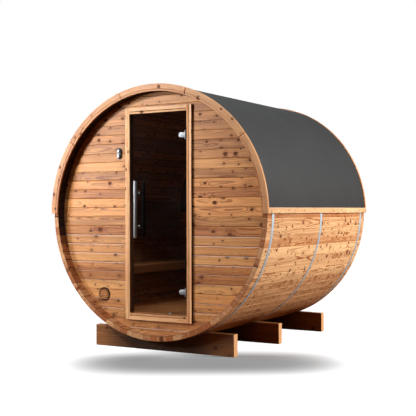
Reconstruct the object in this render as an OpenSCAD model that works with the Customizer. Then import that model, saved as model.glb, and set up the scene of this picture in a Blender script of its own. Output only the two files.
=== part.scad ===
// Barrel sauna: a round stave shell on three timber cradles, with a recessed front wall,
// a framed glass door, a slatted bench, and a half-moon window in the rear wall.
// The origin is on the ground under the middle of the barrel. The front faces -Y.

/* [Barrel] */
// Outside diameter of the stave shell
shell_d = 2050; // [2000:10:2600]
// Thickness of the staves
stave_t = 42; // [30:1:52]
// Length of the barrel over the stave ends
barrel_l = 1990; // [1650:10:4000]
// Gap between the ground and the underside of the barrel
ground_gap = 91; // [70:1:150]

/* [Bands, roof and trims] */
// Width of the steel bands
band_w = 32; // [15:1:40]
// Thickness of the steel bands
band_t = 1.2; // [0.8:0.1:2]
// Distance of the end bands from the stave ends
band_inset = 93; // [40:1:200]
// Thickness of the roof felt
felt_t = 4; // [2:0.5:6]
// Height of the battens along the felt's lower edges
batten_h = 45; // [30:1:70]
// How far the battens and arch trims stand proud of the shell
trim_proud = 15; // [10:0.5:25]
// Thickness of the arch trims at the barrel ends
arch_t = 20; // [12:1:30]
// Number of pieces in each arch trim
arch_n = 5; // [3:1:9]
// Gap at the joints of the arch trims
arch_joint = 1.5; // [0.5:0.5:4]
// How far the arch trims reach in past the stave thickness
arch_lip = 2; // [0:0.5:8]

/* [Cradles] */
// Thickness of each cradle timber
cradle_t = 60; // [40:1:90]
// Height of each cradle timber at its ends
cradle_h = 176; // [160:1:260]
// Length of each cradle timber
cradle_l = 1340; // [1000:10:1800]
// Distance of the end cradles' middles from the stave ends
cradle_inset = 150; // [125:1:400]
// How far the middle cradle stands in front of the middle of the barrel
cradle_shift = 58; // [50:1:150]

/* [End walls and floor] */
// Thickness of the end walls
wall_t = 42; // [28:1:60]
// How far the end walls sit inside the stave ends
wall_recess = 80; // [60:1:200]
// Thickness of the floor boards
floor_t = 28; // [20:1:40]
// Step down from the door opening to the floor
floor_step = 8; // [0:1:40]

/* [Door frame] */
// Width of the opening between the jambs
door_open_w = 554; // [450:1:680]
// Height of the opening between sill and head
door_open_h = 1636; // [1300:1:1660]
// Face width of the jambs
jamb_w = 44; // [30:1:70]
// Face height of the head
head_h = 49; // [30:1:70]
// Face height of the sill
sill_h = 53; // [30:1:70]
// How far the frame stands proud of the front wall
frame_proud = 20; // [5:1:40]
// Width of the raised bead along the frame's inner edge
bead_w = 15; // [8:1:20]
// Width of the groove beside the bead
bead_groove_w = 5; // [3:0.5:8]
// Depth of the groove beside the bead
bead_groove_d = 4; // [2:0.5:6]
// How far the flat outer band of the frame lies behind the bead
band_step = 2; // [1:0.5:4]

/* [Glass door] */
// Thickness of the door glass
glass_t = 8; // [6:0.5:12]
// How far the glass lies behind the front of the frame
glass_set = 15; // [12:1:25]
// Gap between the glass and the free jamb
free_gap = 6; // [6:0.5:12]
// Gap between the glass and the hinge jamb
hinge_gap = 8; // [8:0.5:14]
// Gap between the glass and the head
top_gap = 6; // [5:0.5:12]
// Gap between the glass and the sill
bottom_gap = 9; // [9:0.5:14]
// Width of the catch clip on the lower edge of the glass
catch_w = 20; // [14:1:30]
// Height of the catch clip
catch_h = 13; // [10:1:20]
// Wall thickness of the catch clip
catch_t = 3; // [2:0.5:3.5]
// Distance of the catch from the middle of the doorway
catch_x = 110; // [0:5:180]

/* [Door hinges] */
// Distance of each hinge from the middle of the door's height
hinge_z = 626; // [400:1:700]
// Distance of the hinge pin from the jamb
hinge_pin_off = 8; // [8:0.5:12]
// How far the hinge pin stands in front of the frame
hinge_pin_front = 3; // [1:0.5:6]
// Diameter of the hinge knuckles
knuckle_d = 12; // [11:0.5:13]
// Diameter of the hinge pin
pin_d = 6; // [4:0.5:7]
// Running clearance round the hinge pin
pin_clear = 0.05; // [0.02:0.01:0.1]
// Height of the whole hinge
hinge_h = 72; // [60:1:100]
// Height of the clamp plates
clamp_h = 41; // [30:1:50]
// Length of the clamp plates
clamp_l = 63; // [45:1:90]
// Thickness of the clamp plates
clamp_t = 8; // [5:0.5:10]
// Thickness of the hinge leaf on the jamb
leaf_t = 3; // [2:0.5:3]
// Diameter of the studs through the glass
stud_d = 9; // [6:0.5:12]
// Gap between the hinge knuckles
knuckle_gap = 0.5; // [0.3:0.1:2]

/* [Door handle] */
// Diameter of the handle bars
handle_d = 32; // [20:1:40]
// Length of the handle bars
handle_l = 466; // [300:1:600]
// Distance of the handle from the middle of the doorway
handle_x = 190; // [120:5:230]
// Height of the handle's middle above the centre line of the barrel
handle_rise = 33; // [-100:1:200]
// Distance between the handle's two standoffs
handle_span = 275; // [200:5:400]
// Distance from the glass's middle to the middle of a bar
handle_off = 59; // [45:1:80]
// Diameter of the standoffs
standoff_d = 18; // [12:1:24]

/* [Vent and switch] */
// Diameter of the vent grille
vent_d = 112; // [80:2:160]
// Diameter of the vent hole through the wall
vent_hole_d = 90; // [60:2:140]
// Depth of the vent grille
vent_t = 12; // [8:1:20]
// Height of one vent slat
vent_slat_h = 6; // [4:0.5:9]
// Distance of the vent from the middle of the doorway
vent_x = 549; // [450:1:600]
// Distance of the vent below the centre line
vent_drop = 673; // [500:1:700]
// Width of the switch plate
switch_w = 46; // [36:1:60]
// Height of the switch plate
switch_h = 92; // [70:1:120]
// Thickness of the switch plate
switch_t = 12; // [8:1:20]
// Diameter of the switch knobs
knob_d = 22; // [14:1:28]
// Length of the switch knobs
knob_l = 9; // [5:1:20]
// Gap between the switch plate and the door frame
switch_gap = 46; // [10:1:120]
// Height of the switch above the centre line
switch_rise = 499; // [300:1:600]

/* [Bench] */
// Height of the seat above the floor
seat_h = 374; // [300:1:480]
// Distance of the bench's front edge from the middle of the barrel
bench_front = 450; // [380:5:520]
// Thickness of the bench boards
bench_t = 28; // [20:1:40]
// Height of the front rail and of the bearers
rail_h = 70; // [50:1:100]
// Number of seat slats
seat_slat_n = 4; // [3:1:6]
// Gap between the seat slats
seat_slat_gap = 12; // [6:1:20]
// Thickness of the bearers and legs
bearer_t = 45; // [30:1:60]
// Distance of the bearers from the end walls
bearer_inset = 173; // [100:1:300]
// Gap between the bench ends and the end walls
bench_end_gap = 0.3; // [0.3:0.1:0.8]

/* [Backrest] */
// Number of backrest slats
back_slat_n = 3; // [2:1:4]
// Height of each backrest slat
back_slat_h = 82; // [60:1:100]
// Gap between the backrest slats
back_slat_gap = 16; // [8:1:30]
// Thickness of the backrest slats
back_slat_t = 22; // [18:1:30]
// Distance of the posts' faces from the middle of the barrel
back_post_x = 925; // [880:1:930]
// Height of the backrest's top above the centre line
back_top = 54; // [0:1:100]
// Distance of the backrest's ends from the end walls
back_inset = 73; // [60:1:200]
// Width of each backrest post
back_post_w = 50; // [30:1:80]

/* [Rear window] */
// Face width of the curved window frame
win_frame_w = 45; // [30:1:70]
// Depth of the window frame
win_frame_d = 70; // [50:1:110]
// Height of the window's bottom rail
win_rail_h = 46; // [30:1:80]
// Distance of the rail's lower edge below the centre line
win_rail_drop = 40; // [0:1:80]
// Depth of the groove that holds the glass
win_groove = 10; // [6:1:15]

/* [Hidden] */
$fn = 180;
SMALL_FN = 48;
SEAT = 0.3;                       // clearance at a curved seat
PANEL_N = 12;                     // panels in the shell, seven staves each
shell_r = shell_d / 2;
inner_r = shell_r - stave_t;
fit_r = inner_r - SEAT;           // radius of what fits inside the shell
axis_z = shell_r + ground_gap;
front_y = -barrel_l / 2;
rear_y = barrel_l / 2;
trim_r = shell_r + trim_proud;
felt_r = shell_r + 2 * SEAT + band_t;
band_y = [front_y + band_inset, 0, rear_y - band_inset];
cradle_y = [front_y + cradle_inset, -cradle_shift, rear_y - cradle_inset];
wall_y = front_y + wall_recess;   // front face of the front wall
room_y = wall_y + wall_t;         // inner faces of the two end walls lie at -room_y and room_y
frame_y = wall_y - frame_proud;
frame_d = frame_proud + wall_t;   // the frame ends flush with the wall's inner face
glass_y = frame_y + glass_set;
half_w = door_open_w / 2;
half_h = door_open_h / 2;
frame_half_w = half_w + jamb_w;
frame_top = half_h + head_h;
frame_bottom = -half_h - sill_h;
switch_x = frame_half_w + switch_gap + switch_w / 2;
glass_left = -half_w + free_gap;
glass_right = half_w - hinge_gap;
pin_x = half_w - hinge_pin_off;
pin_y = frame_y - hinge_pin_front;
clamp_right = pin_x - knuckle_d / 2;
clamp_left = clamp_right - clamp_l;
stud_x = clamp_left + clamp_h / 2;
stud_clear = 0.5;                 // gap round a stud in the glass
knuckle_z = clamp_h / 2;          // half height of the door's knuckle
floor_z = -half_h - floor_step;   // floor top, from the centre line
seat_z = floor_z + seat_h;
bearer_top = seat_z - bench_t;
seat_from = bench_front + bench_t + seat_slat_gap;
seat_to = sqrt(pow(fit_r, 2) - pow(bearer_top, 2)) - SEAT;
seat_slat_w = (seat_to - seat_from - (seat_slat_n - 1) * seat_slat_gap) / seat_slat_n;
back_pitch = back_slat_h + back_slat_gap;
back_bottom = back_top - back_slat_n * back_pitch + back_slat_gap;
win_y = rear_y - wall_recess - win_frame_d;
win_open_r = fit_r - win_frame_w;
win_open_z = win_rail_h - win_rail_drop;
win_glass_y = win_y + (win_frame_d - glass_t) / 2;
wood = "#c98850";
wood_light = "#dca36c";
wood_dark = "#8a5530";
steel = "#a9afb5";
felt = "#46484b";
tint = "#2a211c";
black = "#17181a";

function two_digits(i) = i < 10 ? str("0", i) : str(i);
function panel_name(i) = str("stave_panel_", two_digits(i));

// Extrudes an outline drawn in X and Z, measured from the centre line, from y0 to y1.
module along_y(y0, y1) {
    translate([0, y1, axis_z])
        rotate([90, 0, 0])
            linear_extrude(y1 - y0)
                children();
}

// A ring about the centre line, from angle a0 to a1, counted from +X towards +Z.
module ring_sector(r0, r1, y0, y1, a0, a1) {
    translate([0, y1, axis_z])
        rotate([90, 0, 0])
            rotate_extrude(start = a0, angle = a1 - a0)
                translate([r0, 0])
                    square([r1 - r0, y1 - y0]);
}

// A rectangle from its left, bottom, right and top edges.
module block_2d(x0, z0, x1, z1) {
    translate([x0, z0])
        square([x1 - x0, z1 - z0]);
}

// An upright pill outline, centred.
module pill_2d(w, h) {
    union() {
        square([w, h - w], center = true);
        for (side = [-1, 1])
            translate([0, side * (h - w) / 2])
                circle(d = w, $fn = SMALL_FN);
    }
}

// A rod along Y, at x and z from the centre line.
module rod_y(x, z, y0, y1, d) {
    translate([x, y0, axis_z + z])
        rotate([-90, 0, 0])
            cylinder(h = y1 - y0, d = d, $fn = SMALL_FN);
}

module stave_panel(i) {
    mid = 90 - (i - 1) * 360 / PANEL_N;
    half = 180 / PANEL_N;
    color(wood_light)
        ring_sector(inner_r, shell_r, front_y, rear_y, mid - half, mid + half);
}

module band(y) {
    color(steel)
        along_y(y - band_w / 2, y + band_w / 2)
            difference() {
                circle(shell_r + SEAT + band_t);
                circle(shell_r + SEAT);
            }
}

module roof_felt() {
    color(felt)
        along_y(front_y, rear_y)
            intersection() {
                difference() {
                    circle(felt_r + felt_t);
                    circle(felt_r);
                }
                block_2d(-trim_r, batten_h, trim_r, trim_r);
            }
}

// The batten is notched where it crosses the bands.
module batten(side) {
    color(wood_light)
        difference() {
            along_y(front_y, rear_y)
                difference() {
                    block_2d(min(0, side * trim_r), 0, max(0, side * trim_r), batten_h);
                    circle(shell_r + SEAT);
                }
            for (y = band_y)
                along_y(y - band_w / 2 - SEAT, y + band_w / 2 + SEAT)
                    circle(felt_r);
        }
}

module arch(y0) {
    step = 180 / arch_n;
    half_gap = asin(arch_joint / 2 / shell_r);
    color(wood)
        for (i = [0:arch_n - 1])
            ring_sector(inner_r - arch_lip, trim_r, y0, y0 + arch_t,
                        i * step + (i > 0 ? half_gap : 0),
                        (i + 1) * step - (i < arch_n - 1 ? half_gap : 0));
}

module cradle(y) {
    color(wood_dark)
        along_y(y - cradle_t / 2, y + cradle_t / 2)
            difference() {
                block_2d(-cradle_l / 2, -axis_z, cradle_l / 2, cradle_h - axis_z);
                circle(shell_r + SEAT);
            }
}

// The part of the front wall inside the given rectangle.
module front_wall(x0, z0, x1, z1) {
    along_y(wall_y, room_y)
        intersection() {
            circle(fit_r);
            block_2d(x0, z0, x1, z1);
        }
}

module front_wall_left() {
    color(wood)
        difference() {
            front_wall(-shell_r, -shell_r, -frame_half_w, shell_r);
            rod_y(-vent_x, -vent_drop, wall_y - 1, room_y + 1, vent_hole_d);
        }
}

module front_wall_right() {
    color(wood)
        front_wall(frame_half_w, -shell_r, shell_r, shell_r);
}

module front_wall_top() {
    color(wood)
        front_wall(-frame_half_w, frame_top, frame_half_w, shell_r);
}

module front_wall_bottom() {
    color(wood)
        front_wall(-frame_half_w, -shell_r, frame_half_w, frame_bottom);
}

module rear_wall() {
    color(wood)
        along_y(-room_y, -wall_y)
            intersection() {
                circle(fit_r);
                block_2d(-shell_r, -shell_r, shell_r, -win_rail_drop);
            }
}

module window_frame() {
    color(wood)
        difference() {
            along_y(win_y, win_y + win_frame_d)
                difference() {
                    half_moon_2d(fit_r, -win_rail_drop);
                    half_moon_2d(win_open_r, win_open_z);
                }
            along_y(win_glass_y - SEAT, win_glass_y + glass_t + SEAT)
                half_moon_2d(win_open_r + win_groove, win_open_z - win_groove);
        }
}

module half_moon_2d(r, z) {
    intersection() {
        circle(r);
        block_2d(-shell_r, z, shell_r, shell_r);
    }
}

module window_glass() {
    color(tint)
        along_y(win_glass_y, win_glass_y + glass_t)
            half_moon_2d(win_open_r + win_groove - SEAT, win_open_z - win_groove + SEAT);
}

module floor_deck() {
    color(wood)
        along_y(room_y, -room_y)
            intersection() {
                circle(fit_r);
                block_2d(-shell_r, floor_z - floor_t, shell_r, floor_z);
            }
}

// Cross-section of the frame: across the face from the opening's edge, then back into the wall.
module frame_profile(w) {
    polygon([
        [0, 0],
        [bead_w, 0],
        [bead_w, bead_groove_d],
        [bead_w + bead_groove_w, bead_groove_d],
        [bead_w + bead_groove_w, band_step],
        [w, band_step],
        [w, frame_d],
        [0, frame_d]
    ]);
}

module door_jamb(side) {
    color(wood_light)
        translate([side * half_w, frame_y, axis_z + frame_bottom])
            mirror([side < 0 ? 1 : 0, 0, 0])
                linear_extrude(frame_top - frame_bottom)
                    frame_profile(jamb_w);
}

module frame_rail(side, w) {
    color(wood_light)
        translate([-half_w, frame_y, axis_z + side * half_h])
            mirror([0, 0, side < 0 ? 1 : 0])
                rotate([90, 0, 90])
                    linear_extrude(door_open_w)
                        mirror([1, -1, 0])
                            frame_profile(w);
}

module door_glass() {
    color(tint)
        difference() {
            along_y(glass_y, glass_y + glass_t)
                block_2d(glass_left, -half_h + bottom_gap, glass_right, half_h - top_gap);
            for (side = [-1, 1]) {
                rod_y(stud_x, side * hinge_z, glass_y - 1, glass_y + glass_t + 1, stud_d + 2 * stud_clear);
                rod_y(-handle_x, handle_rise + side * handle_span / 2, glass_y - 1,
                      glass_y + glass_t + 1, stud_d + 2 * stud_clear);
            }
        }
}

// A bar on two standoffs. The outer bar's studs pass through the glass to the inner one.
module handle(side) {
    glass_face = side < 0 ? glass_y : glass_y + glass_t;
    bar_y = glass_y + glass_t / 2 + side * handle_off;
    color(steel)
        union() {
            translate([-handle_x, bar_y, axis_z + handle_rise - handle_l / 2])
                cylinder(h = handle_l, d = handle_d, $fn = SMALL_FN);
            for (end = [-1, 1])
                rod_y(-handle_x, handle_rise + end * handle_span / 2,
                      min(bar_y, glass_face), max(bar_y, glass_face), standoff_d);
            if (side < 0)
                for (end = [-1, 1])
                    rod_y(-handle_x, handle_rise + end * handle_span / 2,
                          glass_face - 1, glass_face + glass_t, stud_d);
        }
}

// A small clip folded round the lower edge of the glass, which meets a magnet in the sill.
module door_catch() {
    bottom = -half_h + bottom_gap - catch_t;
    color(steel)
        difference() {
            along_y(glass_y - catch_t, glass_y + glass_t + catch_t)
                block_2d(catch_x - catch_w / 2, bottom, catch_x + catch_w / 2, bottom + catch_h);
            along_y(glass_y, glass_y + glass_t)
                block_2d(catch_x - catch_w, bottom + catch_t, catch_x + catch_w, bottom + 2 * catch_h);
        }
}

// The fixed half: a leaf on the jamb, two knuckles and the pin.
module hinge_leaf(z) {
    leaf_front = pin_y + knuckle_d / 2 + knuckle_gap;
    leaf_back = glass_y + glass_t + clamp_t;
    color(steel)
        translate([0, 0, axis_z + z])
            union() {
                translate([half_w - leaf_t, leaf_front, -hinge_h / 2])
                    cube([leaf_t, leaf_back - leaf_front, hinge_h]);
                for (side = [-1, 1])
                    translate([0, 0, side * (hinge_h / 2 + knuckle_z + knuckle_gap) / 2]) {
                        knuckle_l = hinge_h / 2 - knuckle_z - knuckle_gap;
                        translate([pin_x, pin_y, 0])
                            cylinder(h = knuckle_l, d = knuckle_d, center = true, $fn = SMALL_FN);
                        translate([pin_x, pin_y, -knuckle_l / 2])
                            cube([half_w - pin_x, leaf_front - pin_y + leaf_t, knuckle_l]);
                    }
                translate([pin_x, pin_y, 0])
                    cylinder(h = hinge_h - 1, d = pin_d, center = true, $fn = SMALL_FN);
            }
}

// Outline of a clamp plate, rounded at its free end.
module clamp_2d() {
    union() {
        translate([stud_x, 0])
            circle(d = clamp_h, $fn = SMALL_FN);
        block_2d(stud_x, -clamp_h / 2, clamp_right, clamp_h / 2);
    }
}

// The moving half: two plates that grip the glass, the studs between them and the knuckle.
module hinge_clamp(z) {
    arm_w = knuckle_d / 2;
    color(steel)
        difference() {
            union() {
                translate([0, 0, z]) {
                    along_y(glass_y - clamp_t, glass_y)
                        clamp_2d();
                    along_y(glass_y + glass_t, glass_y + glass_t + clamp_t)
                        clamp_2d();
                }
                rod_y(stud_x, z, glass_y - 1, glass_y + glass_t + 1, stud_d);
                translate([pin_x - arm_w, pin_y, axis_z + z - knuckle_z])
                    cube([arm_w, glass_y - pin_y, clamp_h]);
                translate([pin_x, pin_y, axis_z + z])
                    cylinder(h = clamp_h, d = knuckle_d, center = true, $fn = SMALL_FN);
            }
            translate([pin_x, pin_y, axis_z + z])
                cylinder(h = clamp_h + 2, d = pin_d + 2 * pin_clear, center = true, $fn = SMALL_FN);
        }
}

// A round louvre: a ring with level slats across it.
module vent_grille() {
    ring_w = (vent_d - vent_hole_d) / 2;
    slat_pitch = 2 * vent_slat_h;
    slat_n = floor(vent_hole_d / slat_pitch / 2);
    color(wood)
        translate([-vent_x, 0, -vent_drop])
            along_y(wall_y - vent_t, wall_y)
                union() {
                    difference() {
                        circle(d = vent_d, $fn = SMALL_FN);
                        circle(d = vent_hole_d - 2 * SEAT, $fn = SMALL_FN);
                    }
                    intersection() {
                        circle(d = vent_d - ring_w, $fn = SMALL_FN);
                        for (i = [-slat_n:slat_n])
                            translate([0, i * slat_pitch])
                                square([vent_d, vent_slat_h], center = true);
                    }
                }
}

module switch_plate() {
    color(black)
        translate([-switch_x, 0, switch_rise])
            along_y(wall_y - switch_t, wall_y)
                pill_2d(switch_w, switch_h);
}

module switch_knobs() {
    color(steel)
        for (side = [-1, 1])
            rod_y(-switch_x, switch_rise + side * (switch_h - switch_w) / 2,
                  wall_y - switch_t - knob_l, wall_y - switch_t, knob_d);
}

module bench_seat() {
    color(wood)
        for (i = [0:seat_slat_n - 1])
            translate([-seat_from - i * (seat_slat_w + seat_slat_gap), 0, 0])
                along_y(room_y + bench_end_gap, -room_y - bench_end_gap)
                    block_2d(-seat_slat_w, bearer_top, 0, seat_z);
}

// The front rail, with two bearers that run back to the shell and a leg under each.
module bench_frame() {
    rail_x = bench_front + bench_t;
    color(wood)
        union() {
            along_y(room_y + bench_end_gap, -room_y - bench_end_gap)
                block_2d(-rail_x, seat_z - rail_h, -bench_front, seat_z);
            for (y = [room_y + bearer_inset, -room_y - bearer_inset])
                along_y(y - bearer_t / 2, y + bearer_t / 2)
                    intersection() {
                        circle(fit_r);
                        union() {
                            block_2d(-shell_r, bearer_top - rail_h, -rail_x, bearer_top);
                            block_2d(-rail_x - bearer_t, floor_z, -rail_x, bearer_top);
                        }
                    }
        }
}

module backrest() {
    back_from = room_y + back_inset;
    post_y = [back_from + 2 * back_post_w, 0, -back_from - 2 * back_post_w];
    color(wood)
        union() {
            for (i = [0:back_slat_n - 1])
                along_y(back_from, -back_from)
                    block_2d(-back_post_x, back_bottom + i * back_pitch,
                             -back_post_x + back_slat_t, back_bottom + i * back_pitch + back_slat_h);
            for (y = post_y)
                along_y(y - back_post_w / 2, y + back_post_w / 2)
                    intersection() {
                        circle(fit_r);
                        block_2d(-shell_r, back_bottom, -back_post_x, back_top);
                    }
        }
}

for (i = [1:PANEL_N])
    stave_panel(i);
band(band_y[0]);  // band_front
band(band_y[1]);  // band_middle
band(band_y[2]);  // band_rear
roof_felt();
batten(-1);  // batten_left
batten(1);  // batten_right
arch(front_y - arch_t);  // front_arch
arch(rear_y);  // rear_arch
cradle(cradle_y[0]);  // cradle_front
cradle(cradle_y[1]);  // cradle_middle
cradle(cradle_y[2]);  // cradle_rear
front_wall_left();
front_wall_right();
front_wall_top();
front_wall_bottom();
rear_wall();
window_frame();
window_glass();
floor_deck();
door_jamb(-1);  // door_jamb_left
door_jamb(1);  // door_jamb_right
frame_rail(1, head_h);  // door_head
frame_rail(-1, sill_h);  // door_sill
door_glass();
handle(-1);  // door_handle_outer
handle(1);  // door_handle_inner
door_catch();
hinge_leaf(hinge_z);  // hinge_upper_leaf
hinge_leaf(-hinge_z);  // hinge_lower_leaf
hinge_clamp(hinge_z);  // hinge_upper_clamp
hinge_clamp(-hinge_z);  // hinge_lower_clamp
vent_grille();
switch_plate();
switch_knobs();
bench_seat();
bench_frame();
backrest();
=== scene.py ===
"""Looks of a barrel sauna, built round its packed construction model.

Each sub-assembly is a class that holds its sizes, models its boards and fittings with bmesh operators and
dresses them in procedural timber, felt, steel and glass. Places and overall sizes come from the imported
model, in metres, with +Z up and the door side facing -Y.
"""

import logging
import math
import random
from dataclasses import dataclass
from enum import Enum
from typing import Callable, ClassVar, Iterable, Sequence

import bmesh
import bpy
from mathutils import Matrix, Quaternion, Vector


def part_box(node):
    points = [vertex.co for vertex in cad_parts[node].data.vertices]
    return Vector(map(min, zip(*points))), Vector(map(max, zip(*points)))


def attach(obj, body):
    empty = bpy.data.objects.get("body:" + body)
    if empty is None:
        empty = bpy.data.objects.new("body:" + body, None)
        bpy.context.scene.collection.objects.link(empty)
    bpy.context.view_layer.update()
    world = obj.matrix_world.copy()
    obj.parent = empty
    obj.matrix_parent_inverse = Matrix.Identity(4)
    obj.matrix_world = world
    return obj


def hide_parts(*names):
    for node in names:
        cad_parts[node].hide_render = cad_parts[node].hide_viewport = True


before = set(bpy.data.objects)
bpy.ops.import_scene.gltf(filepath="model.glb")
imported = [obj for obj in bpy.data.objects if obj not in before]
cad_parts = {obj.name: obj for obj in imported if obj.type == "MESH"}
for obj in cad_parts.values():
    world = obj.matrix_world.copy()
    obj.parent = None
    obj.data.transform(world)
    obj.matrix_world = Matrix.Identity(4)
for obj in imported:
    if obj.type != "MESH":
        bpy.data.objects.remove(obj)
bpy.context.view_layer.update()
LOG = logging.getLogger("barrel_sauna")

Colour = tuple[float, float, float]
Socket = bpy.types.NodeSocket
WHITE = (1.0, 1.0, 1.0)
X = Vector((1.0, 0.0, 0.0))
Y = Vector((0.0, 1.0, 0.0))
Z = Vector((0.0, 0.0, 1.0))
HAIR = 1e-5  # two places closer than this are the same
NEAR_CUT = HAIR / 10  # a corner this close to a cutting plane lies on it
STRAIGHT = 0.999  # cosine over which an edge runs along an axis
BAR_SIDES = 40  # sides of a thin round bar
BORE_SIDES = 48  # sides of a bore and of the pull bars
SHELL_SIDES = 256  # sides of a circle as large as the shell
CURVE_STEPS = 20  # steps along one curved board
STAVE_SEED = 84  # start of the staves' small differences

# The wear and painted light mark of a board's face: 0 is as sawn, 1 is a softened edge, a little paler, and
# below 0 is darker, mostly painted shade.
WORN = 1.0
PAINTED_HIGHLIGHT_RANGE = (1.6, 2.4)  # painted highlight: over this range a face turns pale, as if lit from above
PAINTED_SHADE_RANGE = (-2.5, -3.5)  # painted shade: over this range a face turns nearly black


class Body(Enum):
    """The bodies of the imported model."""

    CABIN = "cabin"
    DOOR = "door"


class Slot(Enum):
    """The record's material slots."""

    SHELL = "shell_wood"
    TRIM = "trim_wood"
    WALL = "wall_wood"
    FRAME = "frame_wood"
    CRADLE = "cradle_wood"
    FLOOR = "floor_wood"
    BENCH = "bench_wood"
    FELT = "roof_felt"
    BAND = "band_steel"
    STEEL = "satin_steel"
    GLASS = "tinted_glass"
    PLASTIC = "black_plastic"
    CHROME = "knob_chrome"


class Special(Enum):
    """Finishes of single pieces that differ from their slot's usual one."""

    BATTEN = "batten_wood"
    # a darker copy of the satin steel: painted shade on the inner bar behind the glass
    SHADED_INNER_PULL = "shaded_steel"
    WINDOW = "window_glass"


# ---------------------------------------------------------------- places and sizes


@dataclass(frozen=True)
class Box:
    """The box round one or more CAD nodes."""

    low: Vector
    high: Vector

    @classmethod
    def of(cls, *nodes: str) -> "Box":
        """Returns the box round the named nodes."""
        corners = [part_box(node) for node in nodes]
        low = Vector([min(pair[0][i] for pair in corners) for i in range(3)])
        high = Vector([max(pair[1][i] for pair in corners) for i in range(3)])
        return cls(low, high)

    @property
    def middle(self) -> Vector:
        """The box's middle."""
        return (self.low + self.high) / 2

    @property
    def size(self) -> Vector:
        """The box's three sizes."""
        return self.high - self.low


@dataclass(frozen=True)
class Barrel:
    """The sizes of the stave shell that the other pieces share."""

    outer: float
    inner: float
    fit: float
    height: float
    front: float
    rear: float

    @classmethod
    def measured(cls) -> "Barrel":
        """Reads the shell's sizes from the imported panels."""
        top, side, bottom = (Box.of(f"stave_panel_{i:02d}") for i in (1, 4, 7))
        half_panel = math.pi / 12
        return cls(
            outer=side.high.x,
            inner=side.low.x / math.cos(half_panel),
            fit=Box.of("front_wall_right").high.x,
            height=(top.high.z + bottom.low.z) / 2,
            front=top.low.y,
            rear=top.high.y,
        )

    @property
    def centre(self) -> Vector:
        """The point of the centre line above the origin."""
        return Vector((0.0, 0.0, self.height))

    def reach(self, radius: float, height: float) -> float:
        """Returns the half width, at a height, of a circle about the centre line."""
        level = height - self.height
        return math.sqrt(max(0.0, radius * radius - level * level))


def heading(angle: float) -> Vector:
    """Returns the direction at an angle across the barrel, counted from +X towards +Z."""
    return Vector((math.cos(angle), 0.0, math.sin(angle)))


# ---------------------------------------------------------------- shapes


def runs(edge: bmesh.types.BMEdge, axis: Vector) -> bool:
    """Tells whether an edge runs along an axis."""
    line = edge.verts[1].co - edge.verts[0].co
    return abs(line.dot(axis)) > STRAIGHT * line.length


def halfway(edge: bmesh.types.BMEdge) -> Vector:
    """Returns the middle of an edge."""
    return (edge.verts[0].co + edge.verts[1].co) / 2


def only(kind: type, geometry: Iterable) -> list:
    """Picks the parts of a mesh that are of one kind."""
    return [item for item in geometry if isinstance(item, kind)]


def lies_at(edge: bmesh.types.BMEdge, level: float) -> bool:
    """Tells whether both ends of an edge have the given y."""
    return all(abs(vertex.co.y - level) < HAIR for vertex in edge.verts)


def as_mesh(name: str, bm: bmesh.types.BMesh) -> bpy.types.Mesh:
    """Turns a bmesh into a mesh and frees it."""
    mesh = bpy.data.meshes.new(name)
    bm.to_mesh(mesh)
    bm.free()
    return mesh


def in_scene(name: str, data: bpy.types.ID) -> bpy.types.Object:
    """Makes an object and links it to the scene."""
    made = bpy.data.objects.new(name, data)
    bpy.context.scene.collection.objects.link(made)
    return made


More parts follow.
